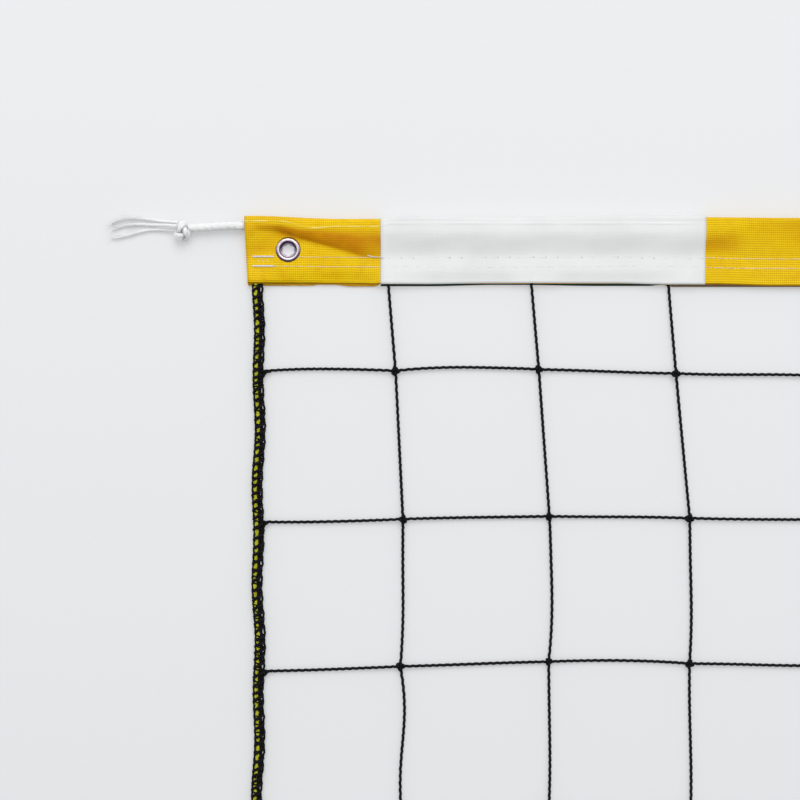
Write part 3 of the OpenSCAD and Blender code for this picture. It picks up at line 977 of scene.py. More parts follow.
def knot_tree():
    tree, given = new_tree("mesh knots", KNOT)
    points = add(tree, "GeometryNodeMeshToPoints", {"Mesh": given["Geometry"]}).outputs[0]
    shape = add(tree, "GeometryNodeObjectInfo", {"Object": loop}).outputs["Geometry"]
    line = add(tree, "GeometryNodeMeshToCurve", {"Mesh": shape}).outputs[0]
    core = maths(tree, "SUBTRACT", given["Size"], given["Thickness"])
    sized = add(tree, "GeometryNodeTransform", {"Geometry": line, "Scale": core}).outputs[0]
    half = maths(tree, "MULTIPLY", given["Thickness"], 0.5)
    ring = add(tree, "GeometryNodeCurvePrimitiveCircle", {"Resolution": 4, "Radius": half}).outputs[0]
    lump = add(tree, "GeometryNodeCurveToMesh", {"Curve": sized, "Profile Curve": ring}).outputs[0]
    turn = add(tree, "FunctionNodeRandomValue", {"Seed": given["Seed"]}, data_type="FLOAT_VECTOR")
    turn.inputs[0].default_value = (-0.35, -0.35, 0.0)
    turn.inputs[1].default_value = (0.35, 0.35, 6.28)
    smallest = maths(tree, "SUBTRACT", 1.0, given["Vary"])
    largest = maths(tree, "ADD", 1.0, given["Vary"])
    size = add(tree, "FunctionNodeRandomValue", {"Seed": given["Seed"]}, data_type="FLOAT")
    tree.links.new(smallest, size.inputs[2])
    tree.links.new(largest, size.inputs[3])
    placed = add(tree, "GeometryNodeInstanceOnPoints", {
        "Points": points, "Instance": lump, "Rotation": turn.outputs[0], "Scale": size.outputs[1],
    }).outputs[0]
    close_tree(tree, placed, given["Material"])
    return tree


print("one knot is a loop of", LOOP_POINTS, "points")

# %% A knot on every crossing
spots = []
for k in range(1, COLUMNS):
    for j in range(1, ROWS):
        spots.append(place(LEFT, *knot_at(k, j), TWINE_Z + KNOT_LIFT))
spot_mesh = bpy.data.meshes.new("crossings")
spot_mesh.from_pydata([tuple(s) for s in spots], [], [])
knots = grow("mesh_knots", knot_tree(), spot_mesh, "black_twine")
bpy.data.objects.remove(loop)
dress(knots, "net", "black_twine", "netting")
print("mesh knots:", len(spots), "faces:", len(knots.data.polygons))

# %% [markdown]
# ## The roped edges
# Down each side and along the bottom runs a yellow rope. The net's outermost twines lie beside it, and
# a black lashing twine is wound round the whole bundle, a turn every five or six millimetres. Between
# the turns the rope shows as slanting yellow windows.
#
# The bundle is drawn as it is made. Its middle line wanders a little, as a lashed edge does. The rope,
# the twines beside it and the lashing are each set off from that line by their own distance across
# and above it.

# %% The bundle's middle line
BUNDLE_Z = 3.1
HEM_BUNDLE_Z = 2.45
EDGE_TOP = 43.5
LASH_TOP = 47.2
ROPE_OFF = -0.75
ROPE_SEAT = 2.0
bottom_low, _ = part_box("border_rope_bottom")
BOTTOM_DROP = (BAND_TOP - bottom_low.y) / MM - ROPE_SEAT
CORNER = 5.0


def side_wave(v):
    """How far in from the band's end the side rope lies, at that drop."""
    wave = 0.55 * np.sin(2 * np.pi * (v - 46) / 190 - 1.2)
    wave = wave + 0.75 * np.sin(2 * np.pi * (v - 20) / 71 + 2.9)
    return ROPE_IN - 0.1 + wave * ease(v, 30, 60) * (1 - ease(v, 930, 990))


def bottom_wave(x):
    room = ease(x, 40, 200) * (1 - ease(x, BAND_LONG - 200, BAND_LONG - 40))
    return BOTTOM_DROP - room * (0.9 * (1 + np.sin(x / 83)) + 0.5 * (1 + np.sin(x / 31 + 1)))


def side_points(end, off, v, lift=0.0):
    """Points beside a side rope: off millimetres in from the bundle's middle."""
    flat = 1 - 0.55 * (1 - ease(v, 44, 51))
    height = HEM_BUNDLE_Z + (BUNDLE_Z - HEM_BUNDLE_Z) * ease(v, 44, 51) + np.asarray(lift) * flat
    return place(end, side_wave(v) + off, v, height)


def bottom_points(off, x, lift=0.0):
    """Points beside the bottom rope: off millimetres up the net from the bundle's middle."""
    return place(LEFT, x, bottom_wave(x) - off, BUNDLE_Z + np.asarray(lift))


print("bottom rope at drop", round(BOTTOM_DROP, 1), "mm")

# %% [markdown]
# ## Rope from Geometry Nodes
# The border rope is three strands laid up right-handed. A tree turns the section a little further at
# every step: it tilts the curve by its own length over the pitch of the lay. The section is a circle
# whose radius is drawn in between the strands.

# %% The rope tree
ROPE = {"Step": 0.0014, "Radius": 0.0019, "Strands": 3, "Lay": 0.0125, "Groove": 0.3, "Sides": 12}


def rope_tree():
    tree, given = new_tree("laid rope", ROPE)
    run = add(tree, "GeometryNodeSplineParameter").outputs["Length"]
    turns = maths(tree, "DIVIDE", run, given["Lay"])
    kept = store(tree, even_steps(tree, given), "turns", turns)
    angle = maths(tree, "MULTIPLY", turns, -2 * math.pi)
    tilted = add(tree, "GeometryNodeSetCurveTilt", {"Curve": kept, "Tilt": angle}).outputs[0]
    ring = add(
        tree, "GeometryNodeCurvePrimitiveCircle", {"Resolution": given["Sides"], "Radius": given["Radius"]}
    ).outputs[0]
    part = add(tree, "GeometryNodeSplineParameter").outputs["Factor"]
    marked = store(tree, ring, "around", part)
    wave = maths(tree, "MULTIPLY", maths(tree, "MULTIPLY", part, given["Strands"]), math.pi)
    lobe = maths(tree, "ABSOLUTE", maths(tree, "COSINE", wave))
    dip = maths(tree, "MULTIPLY", maths(tree, "SUBTRACT", 1.0, lobe), given["Groove"])
    spot = add(tree, "GeometryNodeInputPosition").outputs[0]
    drawn = vector_maths(tree, "SCALE", spot, maths(tree, "SUBTRACT", 1.0, dip))
    section = add(tree, "GeometryNodeSetPosition", {"Geometry": marked, "Position": drawn}).outputs[0]
    tube = add(tree, "GeometryNodeCurveToMesh", {
        "Curve": tilted, "Profile Curve": section, "Fill Caps": True,
    })
    close_tree(tree, tube.outputs[0], given["Material"])
    return tree


ROPE_TREE = rope_tree()
print("rope tree:", len(ROPE_TREE.nodes), "nodes")

# %% Ropes down the sides and along the bottom
for end_name, end in SIDES.items():
    v = np.arange(EDGE_TOP, BOTTOM_DROP - CORNER, 6.0)
    line = side_points(end, ROPE_OFF, np.append(v, BOTTOM_DROP - CORNER))
    rope = lay_yarn(
        f"edge_rope_{end_name}", [line], f"border_rope_{end_name}", slot="yellow_rope", tree=ROPE_TREE
    )
    print(rope.name, len(rope.data.polygons), "faces")

corner = np.linspace(0, np.pi / 2, 7)[:-1]
start_in = float(side_wave(BOTTOM_DROP)) + ROPE_OFF
turn_in = start_in + CORNER * (1 - np.cos(corner))
turn_drop = BOTTOM_DROP - CORNER + CORNER * np.sin(corner)
left_turn = place(LEFT, turn_in, turn_drop, BUNDLE_Z)
right_turn = place(RIGHT, turn_in, turn_drop, BUNDLE_Z)[::-1]
straight = bottom_points(0, np.arange(start_in + CORNER, BAND_LONG - start_in - CORNER, 10.0))
line = np.vstack([left_turn, straight, right_turn])
rope = lay_yarn(
    "edge_rope_bottom", [line], "border_rope_bottom", slot="yellow_rope", tree=ROPE_TREE,
    Step=0.0021, Sides=9,
)
print(rope.name, len(rope.data.polygons), "faces")

# %% [markdown]
# ## Selvedges and lashing
# The lashing is a spiral that leans: it crosses the front of the bundle in a long slant and comes back
# underneath more steeply. No two turns are quite alike, because a hand pulled each one tight, so the
# pitch and the swell of the turns drift with fixed seeds.

# %% Selvedge twines beside the ropes
def selvedge_lines(points_at, run):
    knit = np.sin(2 * np.pi * run / 11.7)
    drift = np.sin(run / 37.0)
    return [
        points_at(-2.7 + 0.12 * drift, run, 0.7),
        points_at(0.85 + 0.2 * knit, run, 1.1),
        points_at(1.75 - 0.25 * knit, run, 0.4),
        points_at(3.3 + 0.4 * knit + 0.1 * drift, run, -0.5),
    ]


print("selvedge twines in an edge:", len(selvedge_lines(bottom_points, np.arange(2.0))))

# %% Lashing spirals
PITCH = 5.5
TURN_POINTS = 14


def spiral(points_at, first, last, seed, pitch=PITCH, reach=2.95, lean=0.22):
    """A spiral of lashing from first to last millimetre along a bundle."""
    dice = np.random.default_rng(seed)
    turns = int((last - first) / pitch)
    phase = np.arange(turns * TURN_POINTS + 1) * 2 * np.pi / TURN_POINTS
    turn = phase / (2 * np.pi)
    uneven = np.cumsum(1 + 0.22 * dice.normal(0, 1, turns + 2).clip(-1.6, 1.6))
    place_of_turn = np.interp(turn, np.arange(turns + 2), uneven - uneven[0])
    ahead = lean * (1 - np.cos(phase)) / 2
    run = first + (place_of_turn + ahead) * (last - first) / (place_of_turn[-1] + 0.3)
    swell = np.interp(turn, np.arange(turns + 2), dice.normal(0, 0.22, turns + 2))
    across = (reach + swell) * np.cos(phase) + 0.15
    lift = (2.15 + 0.3 * swell) * np.sin(phase) + 0.15
    return points_at(across, run, lift)


def side_edge(end):
    """side_points for one end, to be called as bottom_points is."""
    return lambda off, run, lift: side_points(end, off, run, lift)


LASH_END = BOTTOM_DROP - 1
for end_name, end in SIDES.items():
    here = side_edge(end)
    lines = selvedge_lines(here, np.arange(EDGE_TOP, LASH_END, 2.9))
    edge = lay_yarn(f"selvedge_{end_name}", lines, "netting", Thickness=0.0016, Snake=0.0002)
    wound = spiral(here, LASH_TOP, LASH_END, 40 + end)
    lash = lay_yarn(
        f"lashing_twine_{end_name}", [wound], f"lashing_{end_name}",
        Thickness=0.0021, Snake=0.00012, Step=0.0012, Sides=6,
    )
    wound = spiral(here, LASH_TOP, LASH_END, 60 + end, PITCH * 0.96, 2.6, -0.5)
    lay_yarn(
        f"tie_twine_{end_name}", [wound], f"lashing_{end_name}",
        Thickness=0.0011, Snake=0.00012, Step=0.0014, Sides=4,
    )
    print(lash.name, len(lash.data.polygons), "faces, edge", len(edge.data.polygons))

run = np.arange(ROPE_IN + 3, BAND_LONG - ROPE_IN - 3, 5.85)
edge = lay_yarn(
    "selvedge_bottom", selvedge_lines(bottom_points, run)[1::2], "netting",
    Thickness=0.0016, Snake=0.0002, Step=0.0023, Sides=4,
)
wound = spiral(bottom_points, ROPE_IN + 6, BAND_LONG - ROPE_IN - 6, 50)
lash = lay_yarn(
    "lashing_twine_bottom", [wound], "lashing_bottom",
    Thickness=0.0021, Snake=0.0001, Step=0.0021, Sides=4,
)
print(lash.name, len(lash.data.polygons), "faces, edge", len(edge.data.polygons))

# %% [markdown]
# ## Where the mesh meets the rope
# A row of mesh ends on the side rope in a small fork: the twine splits, one leg goes straight under
# the lashing, and the others bend along the rope and fill the corner below. Columns end on the bottom
# rope in the same way.

# %% Forks on the ropes
def fork(points_at, along, reach):
    """Three legs from a point reach in from the rope, on the line at along, to the selvedge."""
    legs = []
    for down, bend in ((0.0, 0.5), (5.0, 0.35), (11.0, 0.2)):
        t = np.linspace(0, 1, 9)
        off = 2.2 + (reach - 2.2) * (1 - t) ** (1 + 1.3 * down / 11)
        run = along + down * ease(t, 0, 1.15) * (1 - bend * (1 - t))
        lift = (TWINE_Z - BUNDLE_Z) * (1 - t) + 0.3 * np.sin(np.pi * t)
        legs.append(points_at(off, run, lift))
    return legs


for end_name, end in SIDES.items():
    legs = []
    for j in range(1, ROWS):
        _, drop = knot_at(0 if end == LEFT else COLUMNS, j)
        legs += fork(side_edge(end), drop, 9.0)
    lay_yarn(f"forks_{end_name}", legs, "netting", Thickness=0.0017)

legs = []
for k in range(1, COLUMNS):
    across, _ = knot_at(k, ROWS)
    legs += fork(bottom_points, across, 8.0)[:2]
lay_yarn("forks_bottom", legs, "netting", Thickness=0.0017)
print("forks:", 2 * (ROWS - 1) + COLUMNS - 1)

# %% [markdown]
# ## Eyelets and washers
# An eyelet is one piece of thin brass, pressed and plated: a domed flange above, a throat that rolls
# down through the cloth, and a barrel whose end is split into petals and rolled over the washer below.
# Its outline is set round the axis in even steps, and the last step joins on to the first. The petals at the
# barrel's foot are seen through the hole as a small star.

# %% Spun metal
EYELET_STEPS = 72
PETALS, PETAL_DEPTH, PETAL_LEAN = 6, 0.55, 0.7


def spun(name, centre, outline, petals=()):
    """A closed outline of radius and height in millimetres, carried round a vertical axis.

    The outline's points named in petals are notched, and those on the upper side lean further in.
    """
    outline = np.array(outline, float)
    angle = np.linspace(0, 2 * np.pi, EYELET_STEPS, endpoint=False)
    radius = np.repeat(outline[None, :, 0], EYELET_STEPS, 0)
    notch = PETAL_DEPTH * np.abs(np.sin(PETALS * angle / 2)) ** 3
    for point in petals:
        radius[:, point] += notch - PETAL_LEAN * np.maximum(np.sin(angle), 0)
    points = np.stack([
        centre[0] + radius * np.cos(angle)[:, None] * MM,
        centre[1] + radius * np.sin(angle)[:, None] * MM,
        np.broadcast_to(outline[None, :, 1] * MM, radius.shape),
    ], -1)
    count = len(outline)
    faces = []
    for i in range(EYELET_STEPS):
        for k in range(count):
            a, b = i * count + k, i * count + (k + 1) % count
            c = ((i + 1) % EYELET_STEPS) * count
            faces.append([a, b, c + (k + 1) % count, c + k])
    mesh = bpy.data.meshes.new(name)
    mesh.from_pydata(points.reshape(-1, 3).tolist(), [], faces)
    return new_piece(name, facing_out(mesh))


def arc(centre, radius, first, last, steps):
    """Points on an arc, with angles in degrees from the radius axis."""
    a = np.radians(np.linspace(first, last, steps))
    return np.stack([centre[0] + radius[0] * np.cos(a), centre[1] + radius[1] * np.sin(a)], -1).tolist()


print("spun shapes have", EYELET_STEPS, "steps")

# %% The eyelets and their washers
BORE_R = 4.5
MOUTH_R = 2.0
WALL = 0.5
TAPE_HIGH = 4.6
FLANGE_H = 1.2

LIP_R = BORE_R + MOUTH_R - 0.5
flange = [(BORE_R, 1.6), (BORE_R + 0.1, 2.4), (BORE_R + 0.35, 3.5), (BORE_R + 0.8, 4.6), (LIP_R - 0.1, 5.2)]
flange += arc((LIP_R + 0.5, TAPE_HIGH + FLANGE_H - 0.45), (0.5, 0.45), 165, 90, 5)
flange += arc((FLANGE_R - 1.7, TAPE_HIGH + FLANGE_H - 0.6), (0.6, 0.6), 90, 48, 4)
flange += arc((FLANGE_R - 0.3, TAPE_HIGH), (0.3, 0.3), 48, 0, 3)
flange += [(FLANGE_R - 0.5, TAPE_HIGH + 0.1), (BORE_R + WALL, TAPE_HIGH + 0.1)]
barrel = [(BORE_R + WALL, 0.5), (BORE_R + WALL + 0.1, 0.1), (BORE_R + 0.2, 0.02), (BORE_R - 0.45, 0.25)]
barrel += [(BORE_R - 0.6, 0.75), (BORE_R - 0.1, 1.25)]
first_petal = len(flange) + 2
petals = range(first_petal, first_petal + 3)
washer = [(BORE_R + WALL + 0.1, 0.02), (FLANGE_R - 0.15, 0.02), (FLANGE_R, 0.15), (FLANGE_R, 0.4)]
washer += [(FLANGE_R - 0.2, 0.58), (BORE_R + WALL + 0.1, 0.58)]

for end_name, centre in eyelet_at.items():
    ring = spun(f"eyelet_ring_{end_name}", centre, flange + barrel, petals)
    dress(ring, "net", "nickel", f"eyelet_{end_name}")
    under = spun(f"washer_ring_{end_name}", centre, washer)
    dress(under, "net", "nickel", f"eyelet_washer_{end_name}")
    print("eyelet:", end_name, len(ring.data.polygons), "faces")

# %% [markdown]
# ## Two rows of stitching
# A lockstitch shows the same on both sides: thread goes down one needle hole and comes up at the
# next. Each stitch is a short arched piece of thread whose ends dive into the cloth. The path of each
# row follows the swell of the cloth, and a tree walks along it and sets one stitch on every step,
# turned to the path and to the cloth.

# %% The stitch tree
STITCH = {"Pitch": 0.0082, "Length": 0.0076, "Thickness": 0.00033, "Sides": 5, "Arch": 4, "Seed": 5}
SEAM_DROP, SEAM_GAP = 27.5, 6.5
FRONT_LIFT, TACK_LIFT, BACK_LIFT = 0.12, 0.3, 0.1
THREAD_LOW = 0.12
SLOPE_STEP = 0.5


def stitch_tree():
    tree, given = new_tree("stitches", STITCH)
    curve = add(tree, "GeometryNodeMeshToCurve", {"Mesh": given["Geometry"]}).outputs[0]
    walk = add(tree, "GeometryNodeCurveToPoints", {"Curve": curve}, mode="LENGTH")
    tree.links.new(given["Pitch"], walk.inputs["Length"])
    cloth = add(tree, "GeometryNodeInputNamedAttribute", {"Name": "cloth_up"}, data_type="FLOAT_VECTOR")
    aim = add(tree, "FunctionNodeAxesToRotation", {
        "Primary Axis": walk.outputs["Tangent"], "Secondary Axis": cloth.outputs[0],
    }, primary_axis="X", secondary_axis="Z")
    half = maths(tree, "MULTIPLY", given["Length"], 0.5)
    low = maths(tree, "MULTIPLY", given["Thickness"], -0.55)
    high = maths(tree, "MULTIPLY", given["Thickness"], 1.15)
    ends = [
        add(tree, "ShaderNodeCombineXYZ", {0: maths(tree, "MULTIPLY", half, -1.0), 2: low}).outputs[0],
        add(tree, "ShaderNodeCombineXYZ", {2: high}).outputs[0],
        add(tree, "ShaderNodeCombineXYZ", {0: half, 2: low}).outputs[0],
    ]
    arch = add(tree, "GeometryNodeCurveQuadraticBezier", {
        "Resolution": given["Arch"], "Start": ends[0], "Middle": ends[1], "End": ends[2],
    }).outputs[0]
    radius = maths(tree, "MULTIPLY", given["Thickness"], 0.5)
    ring = add(tree, "GeometryNodeCurvePrimitiveCircle", {"Resolution": given["Sides"], "Radius": radius})
    thread = add(tree, "GeometryNodeCurveToMesh", {
        "Curve": arch, "Profile Curve": ring.outputs[0], "Fill Caps": True,
    }).outputs[0]
    vary = add(tree, "FunctionNodeRandomValue", {"Seed": given["Seed"]}, data_type="FLOAT_VECTOR")
    vary.inputs[0].default_value = (0.82, 0.8, 0.75)
    vary.inputs[1].default_value = (1.06, 1.15, 1.2)
    laid = add(tree, "GeometryNodeInstanceOnPoints", {
        "Points": walk.outputs[0], "Instance": thread, "Rotation": aim.outputs[0], "Scale": vary.outputs[0],
    }).outputs[0]
    close_tree(tree, laid, given["Material"])
    return tree


STITCH_TREE = stitch_tree()
print("stitch tree:", len(STITCH_TREE.nodes), "nodes")

# %% Where the stitching runs
def over_sleeve(u):
    """1 where the white sleeve covers the tape."""
    out = SLEEVE_IN + SLEEVE_LONG
    return ease(u, SLEEVE_IN - 0.6, SLEEVE_IN) * (1 - ease(u, out, out + 0.6))


def seam_drop(base, u):
    return base + 0.4 * top_edge(u) + 0.9 * ease(u, 300, 330) + 0.25 * np.sin(u / 31.0 + base)


def front_line(stations, base, lift=FRONT_LIFT):
    """Points and cloth normals on the front of the band, along a row of stitching."""
    u = np.minimum(stations, BAND_LONG - stations)
    drop = seam_drop(base, u)
    skin_z = TAPE / 2 + lift + over_sleeve(u) * (SLEEVE - 0.2)
    height = front_height(u, drop)
    slope = (front_height(u, drop + SLOPE_STEP) - height) / SLOPE_STEP
    rise = (front_height(u + SLOPE_STEP, drop) - height) / SLOPE_STEP
    normal = np.stack([-rise * np.where(stations == u, 1, -1), slope, np.ones_like(u)], -1)
    normal /= np.linalg.norm(normal, axis=1)[:, None]
    points = place(LEFT, stations, drop, height)
    return points + normal * (skin_z * MM)[:, None], normal


def back_line(stations, base):
    """Points and cloth normals on the back of the band, along the same row."""
    u = np.minimum(stations, BAND_LONG - stations)
    drop = seam_drop(base, u)
    height = BACK_Z - TAPE / 2 - BACK_LIFT - over_sleeve(u) * SLEEVE
    points = place(LEFT, stations, drop, np.maximum(height, THREAD_LOW))
    return points, np.tile((0.0, 0.0, -1.0), (len(u), 1))


def seam_mesh(points, normals):
    """A row of stitching as a line, which keeps the cloth's direction at each of its points."""
    mesh = line_mesh("row", [points])
    up = mesh.attributes.new("cloth_up", "FLOAT_VECTOR", "POINT")
    up.data.foreach_set("vector", normals.ravel())
    return mesh


def row_stations(start):
    near = np.arange(start, 380, 3.0)
    return np.concatenate([near, np.arange(382, BAND_LONG - 381, 24.0), (BAND_LONG - near)[::-1]])


print("upper seam at 60 mm:", round(float(seam_drop(SEAM_DROP, 60)), 1), "mm below the edge")

# %% The two seams
ROWS_OF_THREAD = {
    "seam_upper": (SEAM_DROP, EYELET_IN + FLANGE_R + 0.8),
    "seam_lower": (SEAM_DROP + SEAM_GAP, 19.6),
}
for name, (base, start) in ROWS_OF_THREAD.items():
    stations = row_stations(start)
    top = grow(
        f"{name}_stitches", STITCH_TREE, seam_mesh(*front_line(stations, base)), "thread",
        Seed=int(base),
    )
    dress(top, "net", "thread", name)
    under = grow(
        f"{name}_underside", STITCH_TREE, seam_mesh(*back_line(stations, base)), "thread",
        Seed=int(base) + 1, Sides=4, Arch=2, Thickness=0.0004,
    )
    dress(under, "net", "thread", name)
    print(name, len(top.data.polygons), "faces on top,", len(under.data.polygons), "below")

# %% [markdown]
# ## Bar tacks and a loose end
# At each end the sewer ran back and forth over both rows, which leaves two thick ropes of thread with
# small slanting stitches between them. A free tail of thread lies on the band where a seam was begun
# again beside the sleeve.

# %% Bar tacks
TACK_IN, TACK_LONG, TACK_POINTS = 5.0, 14.5, 40


def tack_lines(end):
    lines = []
    stations = np.linspace(TACK_IN, TACK_IN + TACK_LONG, TACK_POINTS)
    for row, base in enumerate((SEAM_DROP, SEAM_DROP + SEAM_GAP)):
        points, _ = front_line(stations, base, TACK_LIFT)
        for strand in range(3):
            phase = stations * (2.1 + 0.23 * row) + strand * 2.1
            shift = np.stack([np.zeros(TACK_POINTS), 0.36 * np.cos(phase), 0.22 * np.sin(phase)], -1)
            lines.append(points + shift * MM)
    return [at_end(line, end) for line in lines]


def slant_lines(end):
    lines = []
    for slant in range(3):
        t = np.linspace(0, 1, 10)
        u = TACK_IN + 3.4 + 3.0 * slant + 1.0 * t
        drop = SEAM_DROP + 2.3 + (SEAM_GAP - 4.6) * t
        height = front_height(u, drop) + TAPE / 2 + 0.2 * np.sin(np.pi * t) - 0.1
        lines.append(place(LEFT, u, drop, height))
    return [at_end(line, end) for line in lines]


for end_name, end in SIDES.items():
    tack = lay_yarn(
        f"tack_{end_name}", tack_lines(end), f"bar_tack_{end_name}", slot="thread",
        Thickness=0.0007, Snake=0.00006, Step=0.0005, Twist=0.0016,
    )
    lay_yarn(
        f"tack_slants_{end_name}", slant_lines(end), slot="thread",
        Thickness=0.00022, Snake=0.00004, Step=0.0004, Twist=0.0016,
    )
    t = np.linspace(0, 1, 16)
    u = SLEEVE_IN - 9.0 + 11.5 * t
    drop = SEAM_DROP - 0.6 + 2.2 * t + 0.4 * np.sin(5 * t)
    height = front_height(u, drop) + TAPE / 2 + 0.35 + over_sleeve(u) * SLEEVE + 0.5 * np.sin(np.pi * t)
    tail = place(end, u, drop, height)
    lay_yarn(
        f"loose_thread_{end_name}", [tail], slot="thread",
        Thickness=0.0006, Snake=0.00006, Step=0.0006, Twist=0.002,
    )
    print("tack:", end_name, len(tack.data.polygons), "faces")

# %% [markdown]
# ## The cord inside the hem
# The cord in the hem is out of sight but for its first centimetres, which come out of the hem's mouth
# whenever the cord is pulled through. So its two ends are laid as the free ends are. They are a whole
# number of turns long, which lets the strands run on without a step, and a plain run a little thinner
# joins them. The cord settles slightly to one side of the hem once it is inside.

# %% Cord in the hem
LEAD = 9 * CORD_LAY
LEAD_POINTS = 91
SETTLED = 60
CORD_DROP, CORD_Z = HEADLINE_DROP - 0.3, HEADLINE_Z - 0.25
PLAIN_R, PLAIN_LAY, PLAIN_GROOVE, PLAIN_SIDES = 2.8, 1e6, 0.1, 12

for end_name, end in SIDES.items():
    inward = np.linspace(LEAD, 0, LEAD_POINTS)
    settle = ease(inward, 0, SETTLED)
    line = place(
        end, inward, HEADLINE_DROP + (CORD_DROP - HEADLINE_DROP) * settle,
        HEADLINE_Z + (CORD_Z - HEADLINE_Z) * settle,
    )
    lead = cord_tube(f"hem_cord_{end_name}", line, end)
    dress(lead, "cord", "white_cord", "headline")
    print(lead.name, len(lead.data.polygons), "faces")
middle = place(LEFT, np.linspace(LEAD, BAND_LONG - LEAD, 24), CORD_DROP, CORD_Z)
mesh = lay_tube("hem_cord_middle", middle, PLAIN_R * MM, 3, PLAIN_LAY, PLAIN_GROOVE, PLAIN_SIDES)
dress(new_piece("hem_cord_middle", mesh), "cord", "white_cord", "headline")

# %% [markdown]
# ## Finishes
# Every finish is worked out from the piece itself. Cloth reads its UV map, which runs along and across
# the tape in metres. Twine and rope read two numbers kept by their trees: `turns`, how many times the
# yarns have gone round so far, and `around`, the place round the section. The rest reads Object
# coordinates.

# %% Helpers for finishes
def finish_tree(name, **shader):
    material = finish[name]
    material.use_nodes = True
    tree = material.node_tree
    bsdf = next(n for n in tree.nodes if n.type == "BSDF_PRINCIPLED")
    for key, value in shader.items():
        bsdf.inputs[key.replace("_", " ")].default_value = value
    return tree, bsdf


def paint(tree, bsdf, base, rough=None):
    """Gives the shader its colour, and a roughness where that isn't the same all over."""
    tree.links.new(base, bsdf.inputs["Base Color"])
    if rough:
        tree.links.new(rough, bsdf.inputs["Roughness"])


def object_place(tree):
    """Object coordinates: the place on the net, in metres."""
    return add(tree, "ShaderNodeTexCoord").outputs["Object"]


def uv_map(tree, layer):
    """A UV map: lay is the measure along and across in metres, fold the distance below the crest and the
    share of painted shade.
    """
    return add(tree, "ShaderNodeUVMap", uv_map=layer).outputs[0]


def split(tree, vector):
    return add(tree, "ShaderNodeSeparateXYZ", {0: vector}).outputs


def drawn_out(tree, vector, scale):
    """Coordinates scaled by a different amount each way, so that a noise on them is drawn out in streaks."""
    return add(tree, "ShaderNodeMapping", {0: vector, 3: scale}).outputs[0]


def mix_colour(tree, factor, a, b):
    return add(tree, "ShaderNodeMix", {0: factor, 6: a, 7: b}, data_type="RGBA").outputs[2]


def bump(tree, bsdf, height, distance, strength):
    made = add(tree, "ShaderNodeBump", {"Height": height, "Distance": distance, "Strength": strength})
    tree.links.new(made.outputs[0], bsdf.inputs["Normal"])


print("finish helpers ready")

# %% Patterns and colours
def noise(tree, vector, scale, detail=3.0):
    return add(tree, "ShaderNodeTexNoise", {
        "Vector": vector, "Scale": scale, "Detail": detail, "Roughness": 0.55,
    }).outputs[0]


def span(tree, value, low, high, first=0.0, last=1.0):
    """Runs from first to last as the value goes from low to high, and stays there outside them."""
    return add(tree, "ShaderNodeMapRange", {0: value, 1: low, 2: high, 3: first, 4: last}).outputs[0]


def colour(r, g, b):
    """A colour given as it looks on a screen, 0 to 255, turned into linear light."""
    shares = (r / 255, g / 255, b / 255)
    return [share / 12.92 if share < 0.04 else ((share + 0.055) / 1.055) ** 2.4 for share in shares] + [1]


print("mid grey as light:", round(colour(128, 128, 128)[0], 3))

# %% [markdown]
# ### Coated tape
# The tape is a coarse plain weave of flat yarns under a thin yellow coat. The coat fills the gaps, so what is
# left is a fine grid of shallow ridges, stronger along the band than across it. The ridges drift a little,
# and the grooves between them are painted darker as shade.

# %% Yellow coated tape
WEFT, WARP = 1.55, 1.38


def ridges(tree, value, pitch):
    """A row of rounded ridges, one in every pitch."""
    return maths(tree, "ABSOLUTE", maths(tree, "SINE", maths(tree, "MULTIPLY", value, math.pi / pitch)))


def weave_height(tree, uv, weft, warp):
    """The height of a plain weave with yarns of those widths in millimetres, none quite straight."""
    along, across, _ = split(tree, uv)
    sway = maths(tree, "MULTIPLY", noise(tree, uv, 60.0, 2.0), 0.0009)
    rows = ridges(tree, maths(tree, "ADD", across, sway), weft * MM)
    columns = ridges(tree, maths(tree, "ADD", along, sway), warp * MM)
    return maths(tree, "ADD", maths(tree, "MULTIPLY", rows, 0.58), maths(tree, "MULTIPLY", columns, 0.42))


tree, bsdf = finish_tree("coated_tape", Roughness=0.34, Specular_IOR_Level=0.1)
uv = uv_map(tree, "lay")
weave = weave_height(tree, uv, WEFT, WARP)
patch = noise(tree, uv, 38.0, 4.0)
blotch = noise(tree, uv, 110.0, 3.0)
streak = noise(tree, drawn_out(tree, uv, (18, 500, 1)), 1.0, 3.0)
base = mix_colour(tree, span(tree, patch, 0.35, 0.7), colour(240, 196, 6), colour(248, 210, 14))
base = mix_colour(tree, span(tree, streak, 0.3, 0.75, 0.0, 0.4), base, colour(252, 220, 30))

# Painted shade on the hem's slope, beside the cord and round the eyelet, from the fold map, and blotches of a
# deeper tone anywhere
from_crest, depth, _ = split(tree, uv_map(tree, "fold"))
inner = span(tree, depth, 5.0, 6.0)
share = maths(tree, "MULTIPLY_ADD", inner, -INNER_FACE, depth)
painted_shade = maths(tree, "MULTIPLY", share, span(tree, patch, 0.2, 0.7, 0.85, 1.0))
base = mix_colour(tree, painted_shade, base, colour(206, 132, 0))
base = mix_colour(tree, span(tree, blotch, 0.5, 0.75, 0.0, 0.45), base, colour(228, 166, 4))

# Painted shade over the top of the fold, which faces the light, and a painted shadow line along the front's
# cut edge, darkest near the band's ends
across = split(tree, uv)[1]
base = mix_colour(tree, span(tree, across, -0.0455, -0.0435, 0.2, 0.0), base, colour(190, 140, 0))
outward = maths(tree, "ABSOLUTE", split(tree, object_place(tree))[0])
edge_shadow = mix_colour(
    tree, span(tree, outward, BAND_HALF - 0.036, BAND_HALF - 0.016), colour(150, 92, 16), colour(70, 38, 4)
)
base = mix_colour(tree, span(tree, across, -0.001, -0.0006, 0.0, 0.8), base, edge_shadow)
